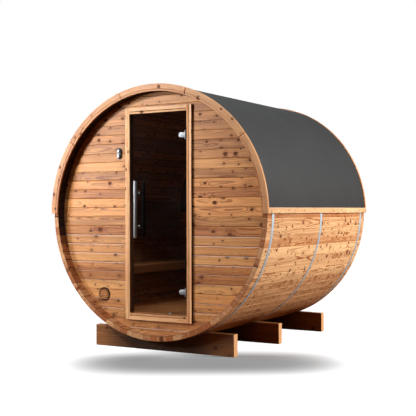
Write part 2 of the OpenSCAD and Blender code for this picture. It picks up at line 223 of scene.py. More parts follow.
class Solid:
    """One closed shape, made and cut with bmesh operators."""

    CORNER: ClassVar[float] = math.radians(20)

    def __init__(self) -> None:
        """Starts with an empty mesh, with a layer that marks the softened edges and the painted light of a
        board.
        """
        self.bm = bmesh.new()
        self.wear_and_painted_light = self.bm.faces.layers.float.new("wear_and_painted_light")

    @classmethod
    def block(cls, low: Vector, high: Vector) -> "Solid":
        """Makes a block between two corners."""
        solid = cls()
        bmesh.ops.create_cube(solid.bm, size=1.0)
        bmesh.ops.scale(solid.bm, vec=high - low, verts=solid.bm.verts)
        bmesh.ops.translate(solid.bm, vec=(low + high) / 2, verts=solid.bm.verts)
        return solid

    @classmethod
    def prism(cls, outline: Iterable[Vector], push: Vector) -> "Solid":
        """Makes a prism: an outline of a few corners, pushed along a vector."""
        solid = cls()
        corners = [solid.bm.verts.new(point) for point in outline]
        bmesh.ops.contextual_create(solid.bm, geom=corners)
        return solid.push(push)

    @classmethod
    def disc(cls, centre: Vector, radius: float, segments: int) -> "Solid":
        """Makes one flat round face that looks along Y, ready to be cut and pushed."""
        solid = cls()
        place = Matrix.Translation(centre) @ Matrix.Rotation(math.pi / 2, 4, "X")
        bmesh.ops.create_circle(solid.bm, cap_ends=True, cap_tris=False, segments=segments, radius=radius,
                                matrix=place)
        return solid

    @classmethod
    def rod(cls, start: Vector, end: Vector, radius: float, segments: int = BAR_SIDES,
            tip: float | None = None) -> "Solid":
        """Makes a round bar or a cone between two points.

        Args:
            start: middle of the first end.
            end: middle of the last end.
            radius: radius at the first end.
            segments: number of sides.
            tip: radius at the last end, if it isn't the same.

        Returns:
            The closed bar.
        """
        solid = cls()
        line = end - start
        place = Matrix.Translation((start + end) / 2) @ line.to_track_quat("Z", "Y").to_matrix().to_4x4()
        bmesh.ops.create_cone(solid.bm, cap_ends=True, cap_tris=False, segments=segments, radius1=radius,
                              radius2=radius if tip is None else tip, depth=line.length, matrix=place)
        return solid

    @classmethod
    def arc(cls, centre: Vector, radii: tuple[float, float], depth: tuple[float, float],
            angles: tuple[float, float], steps: int) -> "Solid":
        """Spins a rectangle about a line along Y.

        Args:
            centre: a point on that line.
            radii: inner and outer radius.
            depth: lowest and highest y.
            angles: first and last angle, counted from +X towards +Z; a whole turn is closed.
            steps: number of steps in the spin.

        Returns:
            The closed ring or stretch of a ring.
        """
        solid = cls()
        bm = solid.bm
        whole = angles[1] - angles[0] > math.tau - HAIR
        bmesh.ops.create_grid(bm, x_segments=1, y_segments=1, size=0.5)
        bmesh.ops.scale(bm, vec=(radii[1] - radii[0], depth[1] - depth[0], 1.0), verts=bm.verts)
        middle = Vector((centre.x + (radii[0] + radii[1]) / 2, (depth[0] + depth[1]) / 2, centre.z))
        bmesh.ops.translate(bm, vec=middle, verts=bm.verts)
        bmesh.ops.rotate(bm, cent=centre, matrix=Matrix.Rotation(-angles[0], 3, "Y"), verts=bm.verts)
        if whole:
            bmesh.ops.delete(bm, geom=bm.faces[:], context="FACES_ONLY")
        bmesh.ops.spin(bm, geom=solid.everything(), cent=centre, axis=-Y, dvec=Vector(), steps=steps,
                       angle=angles[1] - angles[0], use_merge=whole, use_normal_flip=False,
                       use_duplicate=False)
        return solid.outwards()

    def everything(self) -> list:
        """Lists all vertices, edges and faces."""
        return [*self.bm.verts, *self.bm.edges, *self.bm.faces]

    def outwards(self) -> "Solid":
        """Turns every face outwards."""
        bmesh.ops.recalc_face_normals(self.bm, faces=self.bm.faces[:])
        return self

    def draw(self, faces: list, by: Vector) -> None:
        """Extrudes faces along a vector."""
        made = bmesh.ops.extrude_face_region(self.bm, geom=faces)
        bmesh.ops.translate(self.bm, vec=by, verts=only(bmesh.types.BMVert, made["geom"]))

    def push(self, by: Vector) -> "Solid":
        """Extrudes a flat shape along a vector and closes it."""
        self.draw(self.bm.faces[:], by)
        return self.outwards()

    def score(self, point: Vector, normal: Vector, drop: bool = False) -> list:
        """Cuts the shape along a plane.

        Args:
            point: a point on the plane.
            normal: the plane's direction.
            drop: whether what lies beyond the plane is dropped.

        Returns:
            The edges and vertices along the cut.
        """
        made = bmesh.ops.bisect_plane(self.bm, geom=self.everything(), dist=NEAR_CUT, plane_co=point,
                                      plane_no=normal, clear_outer=drop, clear_inner=False)
        return made["geom_cut"]

    def trim(self, point: Vector, normal: Vector) -> None:
        """Cuts a closed shape at a plane, drops what lies beyond and closes the cut."""
        rim = only(bmesh.types.BMEdge, self.score(point, normal, drop=True))
        bmesh.ops.holes_fill(self.bm, edges=rim, sides=0)
        self.outwards()

    def soften(self, width: float, segments: int = 2,
               where: Callable[[bmesh.types.BMEdge], bool] | None = None) -> "Solid":
        """Rounds the sharp edges and marks the new faces as worn.

        Args:
            width: how far the rounding reaches from the edge.
            segments: number of faces across the rounding.
            where: picks the edges; without it, every sharp edge is rounded.

        Returns:
            This shape.
        """
        edges = [edge for edge in self.bm.edges
                 if edge.calc_face_angle(0.0) > self.CORNER and (where is None or where(edge))]
        made = bmesh.ops.bevel(self.bm, geom=edges, offset=width, offset_type="OFFSET", segments=segments,
                               profile=0.5, affect="EDGES", clamp_overlap=True, material=-1)
        for face in made["faces"]:
            face[self.wear_and_painted_light] = WORN
        return self

    def drill(self, start: Vector, end: Vector, radius: float) -> None:
        """Bores a round hole through the shape, from one point to another."""
        cutter = in_scene("cutter", as_mesh("cutter", Solid.rod(start, end, radius, BORE_SIDES).bm))
        blank = in_scene("blank", as_mesh("blank", self.bm))
        bore = blank.modifiers.new("bore", "BOOLEAN")
        bore.operation = "DIFFERENCE"
        bore.solver = "EXACT"
        bore.object = cutter
        bored = blank.evaluated_get(bpy.context.evaluated_depsgraph_get())
        self.bm = bmesh.new()
        self.bm.from_mesh(bored.to_mesh())
        self.wear_and_painted_light = self.bm.faces.layers.float.get("wear_and_painted_light") or self.bm.faces.layers.float.new("wear_and_painted_light")
        for used in (blank, cutter):
            bpy.data.meshes.remove(used.data)


# ---------------------------------------------------------------- grain


@dataclass(frozen=True)
class StraightGrain:
    """The grain of a straight board: where its middle is and which way it runs."""

    middle: Vector
    along: Vector
    across: Vector

    def place(self, point: Vector) -> Vector:
        """Returns how far a point lies along, across and up through the board."""
        way = point - self.middle
        return Vector((way.dot(self.along), way.dot(self.across), way.dot(self.along.cross(self.across))))

    def direction(self, point: Vector) -> Vector:
        """Returns the direction of the grain at a point."""
        return self.along


@dataclass(frozen=True)
class CurvedGrain:
    """The grain of a board bent or glued round a line along Y."""

    centre: Vector
    radius: float

    def place(self, point: Vector) -> Vector:
        """Returns how far a point lies along the curve, across it and along Y."""
        way = point - self.centre
        angle = math.atan2(way.z, way.x)
        return Vector((angle * self.radius, math.hypot(way.x, way.z) - self.radius, way.y))

    def direction(self, point: Vector) -> Vector:
        """Returns the direction of the grain at a point."""
        way = point - self.centre
        return Vector((-way.z, 0.0, way.x)).normalized()


class Fitting:
    """Gathers the closed shapes of one piece."""

    def __init__(self, *solids: Solid) -> None:
        """Starts with the given shapes."""
        self.bm = bmesh.new()
        for solid in solids:
            self.take(solid)

    def take(self, solid: Solid) -> None:
        """Takes a shape in."""
        mesh = as_mesh("shape", solid.bm)
        self.bm.from_mesh(mesh)
        bpy.data.meshes.remove(mesh)


class Boards(Fitting):
    """Gathers the boards of one piece, numbers them and lays their grain."""

    numbered: ClassVar[int] = 0
    END_GRAIN: ClassVar[float] = 0.75

    def add(self, solid: Solid, grain: StraightGrain | CurvedGrain) -> None:
        """Adds a board.

        Args:
            solid: the board's closed shape.
            grain: how its grain lies.
        """
        Boards.numbered += 1
        bm = solid.bm
        bm.normal_update()
        place = bm.verts.layers.float_vector.new("grain")
        number = bm.verts.layers.float.new("board")
        end = bm.faces.layers.float.new("end")
        for vertex in bm.verts:
            vertex[place] = grain.place(vertex.co)
            vertex[number] = float(Boards.numbered)
        for face in bm.faces:
            turned = abs(face.normal.dot(grain.direction(face.calc_center_median())))
            face[end] = 1.0 if turned > self.END_GRAIN else 0.0
        self.take(solid)


# ---------------------------------------------------------------- node trees


class Graph:
    """Short-hand for building one node tree."""

    def __init__(self, tree: bpy.types.NodeTree) -> None:
        """Starts from an empty tree."""
        self.tree = tree
        tree.nodes.clear()

    def feed(self, socket: Socket, value: object) -> None:
        """Links an input to another socket, or sets its own value."""
        if isinstance(value, bpy.types.NodeSocket):
            self.tree.links.new(value, socket)
        elif isinstance(value, tuple) and socket.type == "RGBA" and len(value) == 3:
            socket.default_value = (*value, 1.0)
        else:
            socket.default_value = value

    def add(self, kind: str, inputs: dict | None = None, **settings: object) -> bpy.types.Node:
        """Adds a node.

        Args:
            kind: the node's type, such as ShaderNodeMath.
            inputs: what feeds its inputs, by name or number.
            settings: the node's own settings.

        Returns:
            The new node.
        """
        node = self.tree.nodes.new(kind)
        for name, value in settings.items():
            setattr(node, name, value)
        for name, value in (inputs or {}).items():
            self.feed(node.inputs[name], value)
        return node

    def math(self, operation: str, a: object, b: object = 0.0, clamp: bool = False) -> Socket:
        """Adds a Math node and returns its output."""
        return self.add("ShaderNodeMath", {0: a, 1: b}, operation=operation, use_clamp=clamp).outputs[0]

    def times(self, first: object, *others: object) -> Socket:
        """Multiplies two or more numbers."""
        for other in others:
            first = self.math("MULTIPLY", first, other)
        return first

    def total(self, *terms: object, clamp: bool = False) -> Socket:
        """Adds up several numbers; a pair of numbers counts as their product."""
        running: object = 0.0
        for i, term in enumerate(terms):
            last = i == len(terms) - 1
            if isinstance(term, tuple):
                node = self.add("ShaderNodeMath", {0: term[0], 1: term[1], 2: running},
                                operation="MULTIPLY_ADD", use_clamp=clamp and last)
                running = node.outputs[0]
            else:
                running = self.math("ADD", running, term, clamp and last)
        return running

    def vector(self, x: object, y: object, z: object = 0.0) -> Socket:
        """Joins three numbers into a vector."""
        return self.add("ShaderNodeCombineXYZ", {"X": x, "Y": y, "Z": z}).outputs[0]

    def split(self, vector: Socket) -> Sequence[Socket]:
        """Splits a vector or colour into its three numbers."""
        return self.add("ShaderNodeSeparateXYZ", {0: vector}).outputs

    def noise(self, vector: object, detail: float = 2.0, rough: float = 0.5, scale: float = 1.0) -> Socket:
        """Adds a Noise Texture and returns its value, less a half."""
        made = self.add("ShaderNodeTexNoise",
                        {"Vector": vector, "Scale": scale, "Detail": detail, "Roughness": rough})
        return self.math("SUBTRACT", made.outputs[0], 0.5)

    def mix(self, factor: object, a: object, b: object, blend: str = "MIX") -> Socket:
        """Mixes two colours."""
        node = self.add("ShaderNodeMix", {0: factor, 6: a, 7: b}, data_type="RGBA", blend_type=blend)
        return node.outputs[2]

    def ramp(self, value: object, low: object, high: object, to: tuple[float, float] = (0.0, 1.0)) -> Socket:
        """Maps a number smoothly from one range to another, held at its ends."""
        return self.add("ShaderNodeMapRange", {0: value, 1: low, 2: high, 3: to[0], 4: to[1]},
                        interpolation_type="SMOOTHSTEP").outputs[0]

    def attribute(self, name: str, output: str) -> Socket:
        """Reads an attribute of the mesh."""
        node = self.add("ShaderNodeAttribute", attribute_name=name, attribute_type="GEOMETRY")
        return node.outputs[output]

    def group(self, tree: bpy.types.NodeTree, **inputs: object) -> Sequence[Socket]:
        """Places a node group and returns its outputs."""
        return self.add("ShaderNodeGroup", inputs, node_tree=tree).outputs


def new_group(name: str, inputs: dict[str, object],
              outputs: dict[str, str]) -> tuple[bpy.types.NodeTree, Graph, Sequence[Socket]]:
    """Makes a shader node group with named sockets.

    Args:
        name: the group's name.
        inputs: default values by socket name: a number, or a colour of three numbers.
        outputs: kinds by socket name: Color or Float.

    Returns:
        The group, a graph that builds in it, and its inputs.
    """
    tree = bpy.data.node_groups.new(name, "ShaderNodeTree")
    for label, value in inputs.items():
        colour = isinstance(value, tuple)
        kind = "NodeSocketColor" if colour else "NodeSocketFloat"
        socket = tree.interface.new_socket(name=label, in_out="INPUT", socket_type=kind)
        socket.default_value = (*value, 1.0) if colour else value
    for label, kind in outputs.items():
        tree.interface.new_socket(name=label, in_out="OUTPUT", socket_type="NodeSocket" + kind)
    graph = Graph(tree)
    return tree, graph, graph.add("NodeGroupInput").outputs


TIMBER_INPUTS = {"Pale": (0.7, 0.4, 0.2), "Dark": (0.4, 0.2, 0.1), "Knot": (0.1, 0.04, 0.02), "Knots": 0.35,
                 "Stretch": 1.4, "Spread": 0.5, "Figure": 0.5, "Pitch": 0.006, "End": 0.06, "Density": 9.5,
                 "Painted_light": 0.0}
REDDISH = (1.06, 0.90, 0.80)
PAINTED_SHADOW = (0.012, 0.005, 0.002)
PAINTED_END_HIGHLIGHT = (0.98, 0.56, 0.28)
PAINTED_HIGHLIGHT = (0.66, 0.62, 0.66)
PAINTED_SHADE = (0.007, 0.002, 0.001)
SHADOW_MIDDLE = (0.74, 0.26)  # painted shadow under the barrel fades in between these distances from a timber's middle
SHADOW_SIDE = (0.0, 0.35)  # and between these places along it, on the side that the barrel shades
SHADOW_SIDE_SHARE = (0.0, 0.55)


def timber_group() -> bpy.types.NodeTree:
    """Builds the group that all boards share: growth rings about a wandering heart, fibres, knots and tone.

    Returns:
        The group. It reads the place in the board, the board's number and the marks on its faces.
    """
    outputs = {"Color": "Color", "Roughness": "Float", "Height": "Float"}
    tree, g, given = new_group("timber", TIMBER_INPUTS, outputs)
    along, across, depth = g.split(g.attribute("grain", "Vector"))
    number, end, wear_and_painted_light = (g.attribute(name, "Fac") for name in ("board", "end", "wear_and_painted_light"))
    lot = g.add("ShaderNodeTexWhiteNoise", {"W": number}, noise_dimensions="1D")
    first, second, third = g.split(lot.outputs["Color"])
    u = g.total(along, (lot.outputs["Value"], 13.0))
    wave = g.noise(g.vector(g.times(u, 60.0), g.times(across, 85.0), number), 1.0)
    pin, pin_halo = knots(g, u, across, number, given["Knots"], given["Density"], (0.07, 0.12), wave,
                          given["Stretch"])
    branch, branch_halo = knots(g, u, across, number, g.times(given["Knots"], 0.5), 4.4, (0.05, 0.06), wave,
                                given["Stretch"])

    # growth rings about a heart that wanders, with a darker late part in each
    slow = g.times(u, 0.9)
    heart_across = g.total(-0.045, (first, 0.09), (g.noise(g.vector(slow, number, 0.0), 1.0), 0.12))
    heart_depth = g.total(-0.055, (second, 0.11), (g.noise(g.vector(slow, number, 7.0), 1.0), 0.08))
    sideways = g.math("SUBTRACT", across, heart_across)
    upward = g.math("SUBTRACT", depth, heart_depth)
    radius = g.math("SQRT", g.total((sideways, sideways), (upward, upward)))
    ripple = g.noise(g.vector(g.times(u, 2.6), g.times(across, 15.0), number))
    bend = g.total(radius, (ripple, 0.012), (pin_halo, 0.010), (branch_halo, 0.024))
    rings = g.math("DIVIDE", bend, given["Pitch"])
    saw = g.math("FRACT", rings)
    year = g.add("ShaderNodeTexWhiteNoise", {"W": g.total(g.math("FLOOR", rings), (number, 31.0))},
                 noise_dimensions="1D").outputs["Value"]
    late = g.times(g.ramp(saw, 0.2, 0.9), g.ramp(saw, 1.0, 0.93), g.total(0.25, (year, 1.1)))

    # streaks, patches and fibres
    thickness = g.total((depth, 36.0), (number, 5.0))
    streak = g.noise(g.vector(g.times(u, 1.5), g.times(across, 42.0), thickness), 3.0, 0.6)
    patch = g.noise(g.vector(g.times(u, 2.2), g.times(across, 8.0), number), 1.0)
    fibre = g.noise(g.vector(g.times(u, 14.0), g.times(across, 520.0), g.times(depth, 520.0)), 1.0)

    # the wood's own colour, paler or darker with the wear and painted light mark
    tone = g.math("SUBTRACT", third, 0.5)
    shade = g.total(0.26, (tone, given["Spread"]), (late, given["Figure"]), (streak, 0.95), (patch, 0.55),
                    (fibre, 0.2), (pin_halo, 0.18), (branch_halo, 0.4), (end, given["End"]),
                    (g.times(end, tone), 0.3), (wear_and_painted_light, -0.3), clamp=True)
    colour = g.mix(shade, given["Pale"], given["Dark"])
    reddish = g.mix(1.0, colour, REDDISH, "MULTIPLY")
    colour = g.mix(g.times(second, 0.8), colour, reddish)
    colour = g.mix(g.times(branch, g.total(0.75, (wave, 1.0), clamp=True)), colour, given["Knot"])
    colour = g.mix(g.times(pin, 0.95), colour, given["Knot"])

    # painted shadow under the barrel, painted highlights on end faces and upward bevels, and painted shade
    # where the mark is lowest
    shaded = g.ramp(wear_and_painted_light, *PAINTED_SHADE_RANGE)
    side = g.ramp(end, 0.6, 0.4)
    # painted shadow under the barrel: darker towards a timber's middle, and more on one side
    under = g.math("MAXIMUM", g.ramp(g.math("ABSOLUTE", along), *SHADOW_MIDDLE),
                   g.ramp(along, *SHADOW_SIDE, to=SHADOW_SIDE_SHARE))
    coats = ((g.times(under, side, given["Painted_light"]), PAINTED_SHADOW),
             (g.times(g.math("SUBTRACT", 1.0, side), given["Painted_light"], 0.6), PAINTED_END_HIGHLIGHT),
             (g.times(g.ramp(wear_and_painted_light, *PAINTED_HIGHLIGHT_RANGE), 0.58), PAINTED_HIGHLIGHT),
             (g.times(shaded, 0.96), PAINTED_SHADE))
    for mask, coat in coats:
        colour = g.mix(mask, colour, coat)
    knot = g.math("MAXIMUM", pin, branch)
    rough = g.total(0.48, (fibre, 0.25), (late, -0.08), (end, 0.15), (knot, 0.42), (shaded, 0.5), clamp=True)
    height = g.total((late, -0.5), (fibre, 0.6), (streak, 0.5), (knot, 0.7))
    g.add("NodeGroupOutput", {"Color": colour, "Roughness": rough, "Height": height})
    return tree


def knots(g: Graph, u: Socket, across: Socket, number: Socket, share: Socket, scale: object,
          radii: tuple[float, float], wave: Socket, stretch: Socket) -> tuple[Socket, Socket]:
    """Scatters one kind of knot over the boards.

    Args:
        g: the graph to build in.
        u: place along the grain.
        across: place across the board.
        number: the board's number.
        share: share of the places that hold a knot.
        scale: places in a metre.
        radii: the smallest radius, and how much the largest adds to it, in places.
        wave: noise that roughens the outline.
        stretch: how many times longer than wide a knot is.

    Returns:
        A mask of the knots, and a softer one of the grain that bends round them.
    """
    place = g.vector(g.math("DIVIDE", g.times(u, scale), stretch), g.total((number, 4.7), (across, scale)))
    cell = g.add("ShaderNodeTexVoronoi", {"Vector": place, "Scale": 1.0, "Randomness": 0.9},
                 voronoi_dimensions="2D")
    chance, size, _ = g.split(cell.outputs["Color"])
    present = g.math("LESS_THAN", chance, share)
    radius = g.total(radii[0], (g.math("POWER", size, 2.0), radii[1]))
    away = g.total(cell.outputs["Distance"], (wave, 0.05))
    core = g.ramp(away, radius, g.times(radius, 0.8))
    reach = g.math("DIVIDE", away, g.times(radius, 2.0))
    halo = g.math("EXPONENT", g.times(reach, reach, -1.0))
    return g.times(core, present), g.times(halo, present)


def handled_group() -> bpy.types.NodeTree:
    """Builds the group that fittings share: brush lines along one axis, smudges and specks.

    Returns:
        The group. It reads Object coordinates, stretched by its first three inputs.
    """
    inputs = {"Across X": 40.0, "Across Y": 40.0, "Across Z": 400.0, "Smudge": 9.0}
    tree, g, given = new_group("handled_surface", inputs, {"Brush": "Float", "Smudge": "Float"})
    place = g.add("ShaderNodeTexCoord").outputs["Object"]
    lines = [g.times(part, given[f"Across {axis}"]) for part, axis in zip(g.split(place), "XYZ")]
    brush = g.noise(g.vector(*lines), 2.0)
    smudge = g.add("ShaderNodeTexNoise", {"Vector": place, "Scale": given["Smudge"], "Detail": 3.0,
                                          "Roughness": 0.6}).outputs[0]
    g.add("NodeGroupOutput", {"Brush": brush, "Smudge": g.ramp(smudge, 0.4, 0.75)})
    return tree


# ---------------------------------------------------------------- finishes


def new_material(name: str) -> tuple[bpy.types.Material, Graph]:
    """Makes an empty node material.

    Args:
        name: the material's name.

    Returns:
        The material and a graph that builds in it.
    """
    material = bpy.data.materials.new(name)
    material.use_nodes = True
    return material, Graph(material.node_tree)


def close_material(g: Graph, inputs: dict, height: Socket | None = None, relief: float = 0.0005,
                   strength: float = 0.3) -> None:
    """Adds the Principled shader, its bump and the output.

    Args:
        g: the material's graph.
        inputs: what feeds the Principled shader.
        height: the relief's height, if there is any.
        relief: how many metres a height of one stands up.
        strength: strength of the bump.
    """
    shader = g.add("ShaderNodeBsdfPrincipled", inputs)
    if height is not None:
        bump = g.add("ShaderNodeBump", {"Height": height, "Distance": relief, "Strength": strength})
        g.feed(shader.inputs["Normal"], bump.outputs["Normal"])
    g.add("ShaderNodeOutputMaterial", {"Surface": shader.outputs[0]})


@dataclass(frozen=True)
class WoodFinish:
    """Planed or sawn softwood. The fields after the name are the timber group's inputs."""

    name: str
    pale: Colour
    dark: Colour
    knot: Colour = (0.095, 0.020, 0.005)
    knots: float = 0.38
    stretch: float = 1.4
    spread: float = 0.45
    figure: float = 0.6
    pitch: float = 0.0062
    end: float = 0.06
    density: float = 9.5
    # painted shadow under the barrel, and a painted highlight on the end faces
    painted_light: float = 0.0

    def make(self, timber: bpy.types.NodeTree) -> bpy.types.Material:
        """Makes the material from the shared timber group."""
        material, g = new_material(self.name)
        made = g.group(timber, **{label: getattr(self, label.lower()) for label in TIMBER_INPUTS})
        inputs = {"Base Color": made["Color"], "Roughness": made["Roughness"], "Specular IOR Level": 0.32}
        close_material(g, inputs, made["Height"], relief=0.0006, strength=0.4)
        return material


def handled_inputs(stretch: Sequence[float]) -> dict[str, float]:
    """Names how finely the brush lines lie along each axis."""
    return {f"Across {axis}": value for axis, value in zip("XYZ", stretch)}


@dataclass(frozen=True)
class MetalFinish:
    """Brushed, galvanised or polished metal."""

    name: str
    colour: Colour
    rough: float
    stretch: tuple[float, float, float]
    streaks: float = 0.1
    marks: float = 0.1
    metallic: float = 1.0
    dulled: float = 0.78

    def make(self, handled: bpy.types.NodeTree) -> bpy.types.Material:
        """Makes the material from the shared group of brush lines and smudges."""
        material, g = new_material(self.name)
        made = g.group(handled, **handled_inputs(self.stretch))
        dull = tuple(channel * self.dulled for channel in self.colour)
        colour = g.mix(g.total((made["Smudge"], 0.6), (made["Brush"], 0.5), clamp=True), self.colour, dull)
        rough = g.total(self.rough, (made["Brush"], self.streaks), (made["Smudge"], self.marks))
        close_material(g, {"Base Color": colour, "Roughness": rough, "Metallic": self.metallic},
                       made["Brush"], relief=0.0002, strength=0.2)
        return material


@dataclass(frozen=True)
class FeltFinish:
    """Mineral roof felt with fine granules."""

    name: str
    colour: Colour
    granules: float = 420.0
    paler: float = 1.9
    darker: float = 0.55

    def make(self) -> bpy.types.Material:
        """Makes the material: granules and faint cloudiness."""
        material, g = new_material(self.name)
        place = g.add("ShaderNodeTexCoord").outputs["Object"]
        granule = g.add("ShaderNodeTexVoronoi", {"Vector": place, "Scale": self.granules}).outputs["Color"]
        speck, grit, _ = g.split(granule)
        cloud = g.noise(place, 3.0, 0.6, 3.0)
        pale = tuple(channel * self.paler for channel in self.colour)
        dark = tuple(channel * self.darker for channel in self.colour)
        colour = g.mix(g.total(0.08, (speck, 0.5), (cloud, 0.45), clamp=True), dark, pale)
        inputs = {"Base Color": colour, "Roughness": g.total(0.62, (speck, 0.2)), "Specular IOR Level": 0.4}
        close_material(g, inputs, g.total((grit, 0.7), (cloud, 1.4)), relief=0.0009, strength=0.35)
        return material


@dataclass(frozen=True)
class GlassFinish:
    """Bronze tinted glass. Part of the light passes straight through."""

    name: str
    colour: Colour
    cover: float
    dust: float = 0.006

    def make(self) -> bpy.types.Material:
        """Makes the material with a faint film of dust on it."""
        material, g = new_material(self.name)
        place = g.add("ShaderNodeTexCoord").outputs["Object"]
        film = g.ramp(g.noise(place, 4.0, 0.6, 5.0), -0.1, 0.3)
        dusty = tuple(channel + self.dust for channel in self.colour)
        close_material(g, {"Base Color": g.mix(film, self.colour, dusty),
                           "Roughness": g.total(0.03, (film, 0.05)),
                           "Alpha": g.total(self.cover, (film, 0.02)), "Specular IOR Level": 0.12})
        return material


@dataclass(frozen=True)
class PlasticFinish:
    """Moulded plastic with a soft gloss."""

    name: str
    colour: Colour
    rough: float
    grain: float = 900.0
    smudges: float = 30.0
    paler: float = 1.7
    dust: float = 0.004

    def make(self, handled: bpy.types.NodeTree) -> bpy.types.Material:
        """Makes the material from the shared group of lines and smudges."""
        material, g = new_material(self.name)
        made = g.group(handled, **handled_inputs([self.grain] * 3), Smudge=self.smudges)
        worn = tuple(channel * self.paler + self.dust for channel in self.colour)
        rough = g.total(self.rough, (made["Smudge"], 0.14))
        close_material(g, {"Base Color": g.mix(made["Smudge"], self.colour, worn), "Roughness": rough},
                       made["Brush"], relief=0.0001, strength=0.2)
        return material


def finishes() -> dict[Slot | Special, bpy.types.Material]:
    """Makes every finish of the sauna.

    Returns:
        The materials by slot, and those of single pieces.
    """
    timber, handled = timber_group(), handled_group()
    woods = {
        Slot.SHELL: WoodFinish("shell_wood", (0.95, 0.63, 0.33), (0.37, 0.12, 0.033), knots=0.9,
                               stretch=0.85, spread=0.8, figure=0.75, end=0.5),
        Slot.TRIM: WoodFinish("trim_wood", (0.74, 0.40, 0.178), (0.31, 0.10, 0.032), knots=0.5, stretch=1.1,
                              spread=0.35, figure=0.35),
        Slot.WALL: WoodFinish("wall_wood", (0.84, 0.43, 0.155), (0.26, 0.075, 0.018), knots=0.78,
                              spread=0.62, figure=0.62, density=11.0),
        Slot.FRAME: WoodFinish("frame_wood", (1.0, 0.67, 0.36), (0.70, 0.29, 0.11), knots=0.3, spread=0.2),
        # the cradles get a painted shadow under the barrel; end=-0.9 and the pale end colour paint their end
        # faces paler, a painted highlight
        Slot.CRADLE: WoodFinish("cradle_wood", (0.64, 0.29, 0.10), (0.15, 0.045, 0.014), knots=0.4,
                                spread=0.2, end=-0.9, painted_light=0.85),
        Slot.FLOOR: WoodFinish("floor_wood", (0.52, 0.27, 0.11), (0.22, 0.08, 0.03), knots=0.4),
        Slot.BENCH: WoodFinish("bench_wood", (0.24, 0.12, 0.05), (0.12, 0.045, 0.018), knots=0.12,
                               spread=0.3),
        Special.BATTEN: WoodFinish("batten_wood", (0.93, 0.64, 0.35), (0.45, 0.20, 0.08), knots=0.8,
                                   spread=0.1, figure=0.4, density=17.0),
    }
    upright = (500.0, 500.0, 20.0)
    metals = {
        Slot.BAND: MetalFinish("band_steel", (0.60, 0.76, 0.88), 0.5, (60.0, 500.0, 60.0), streaks=0.12,
                               metallic=0.55),
        Slot.STEEL: MetalFinish("satin_steel", (0.33, 0.345, 0.36), 0.5, upright, streaks=0.15, marks=0.08),
        Slot.CHROME: MetalFinish("knob_chrome", (0.60, 0.61, 0.62), 0.16, (200.0, 200.0, 200.0),
                                 streaks=0.04, marks=0.08),
        # painted shade: the inner bar, seen behind the tinted glass, is nearly black
        Special.SHADED_INNER_PULL: MetalFinish("shaded_steel", (0.07, 0.073, 0.076), 0.45, upright),
    }
    made = {slot: finish.make(timber) for slot, finish in woods.items()}
    made |= {slot: finish.make(handled) for slot, finish in metals.items()}
    made[Slot.FELT] = FeltFinish("roof_felt", (0.022, 0.0225, 0.023)).make()
    made[Slot.GLASS] = GlassFinish("tinted_glass", (0.004, 0.002, 0.001), 0.45).make()
    made[Special.WINDOW] = GlassFinish("window_glass", (0.004, 0.003, 0.002), 0.97).make()
    made[Slot.PLASTIC] = PlasticFinish("black_plastic", (0.012, 0.013, 0.014), 0.22).make(handled)
    return made


# ---------------------------------------------------------------- pieces


class Workshop:
    """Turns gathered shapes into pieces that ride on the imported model."""

    def __init__(self, materials: dict[Slot | Special, bpy.types.Material]) -> None:
        """Keeps the finishes to hand out."""
        self.materials = materials

    def fit(self, name: str, shape: Fitting, slot: Slot, replaces: Sequence[str],
            body: Body = Body.CABIN, crease: float = 22.0, finish: Special | None = None) -> None:
        """Makes a piece of the object.

        Args:
            name: the piece's name.
            shape: what it is made of.
            slot: the material slot that gives its finish.
            replaces: the CAD nodes that it stands for.
            body: the body that it rides on.
            crease: angle in degrees past which an edge is sharp.
            finish: a finish of its own, where the slot's usual one isn't right.
        """
        for face in shape.bm.faces:
            face.smooth = True
        mesh = as_mesh(name, shape.bm)
        mesh.set_sharp_from_angle(angle=math.radians(crease))
        mesh.materials.append(self.materials[finish or slot])
        piece = in_scene(name, mesh)
        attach(piece, body.value)
        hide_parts(*replaces)
        LOG.info("%s: %d faces, rides on %s", name, len(mesh.polygons), body.value)

    def keep(self, node: str, finish: Slot | Special) -> None:
        """Gives a CAD node whose shape is right its finish."""
        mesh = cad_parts[node].data
        mesh.materials.clear()
        mesh.materials.append(self.materials[finish])
        LOG.info("%s: kept from the packed model", node)


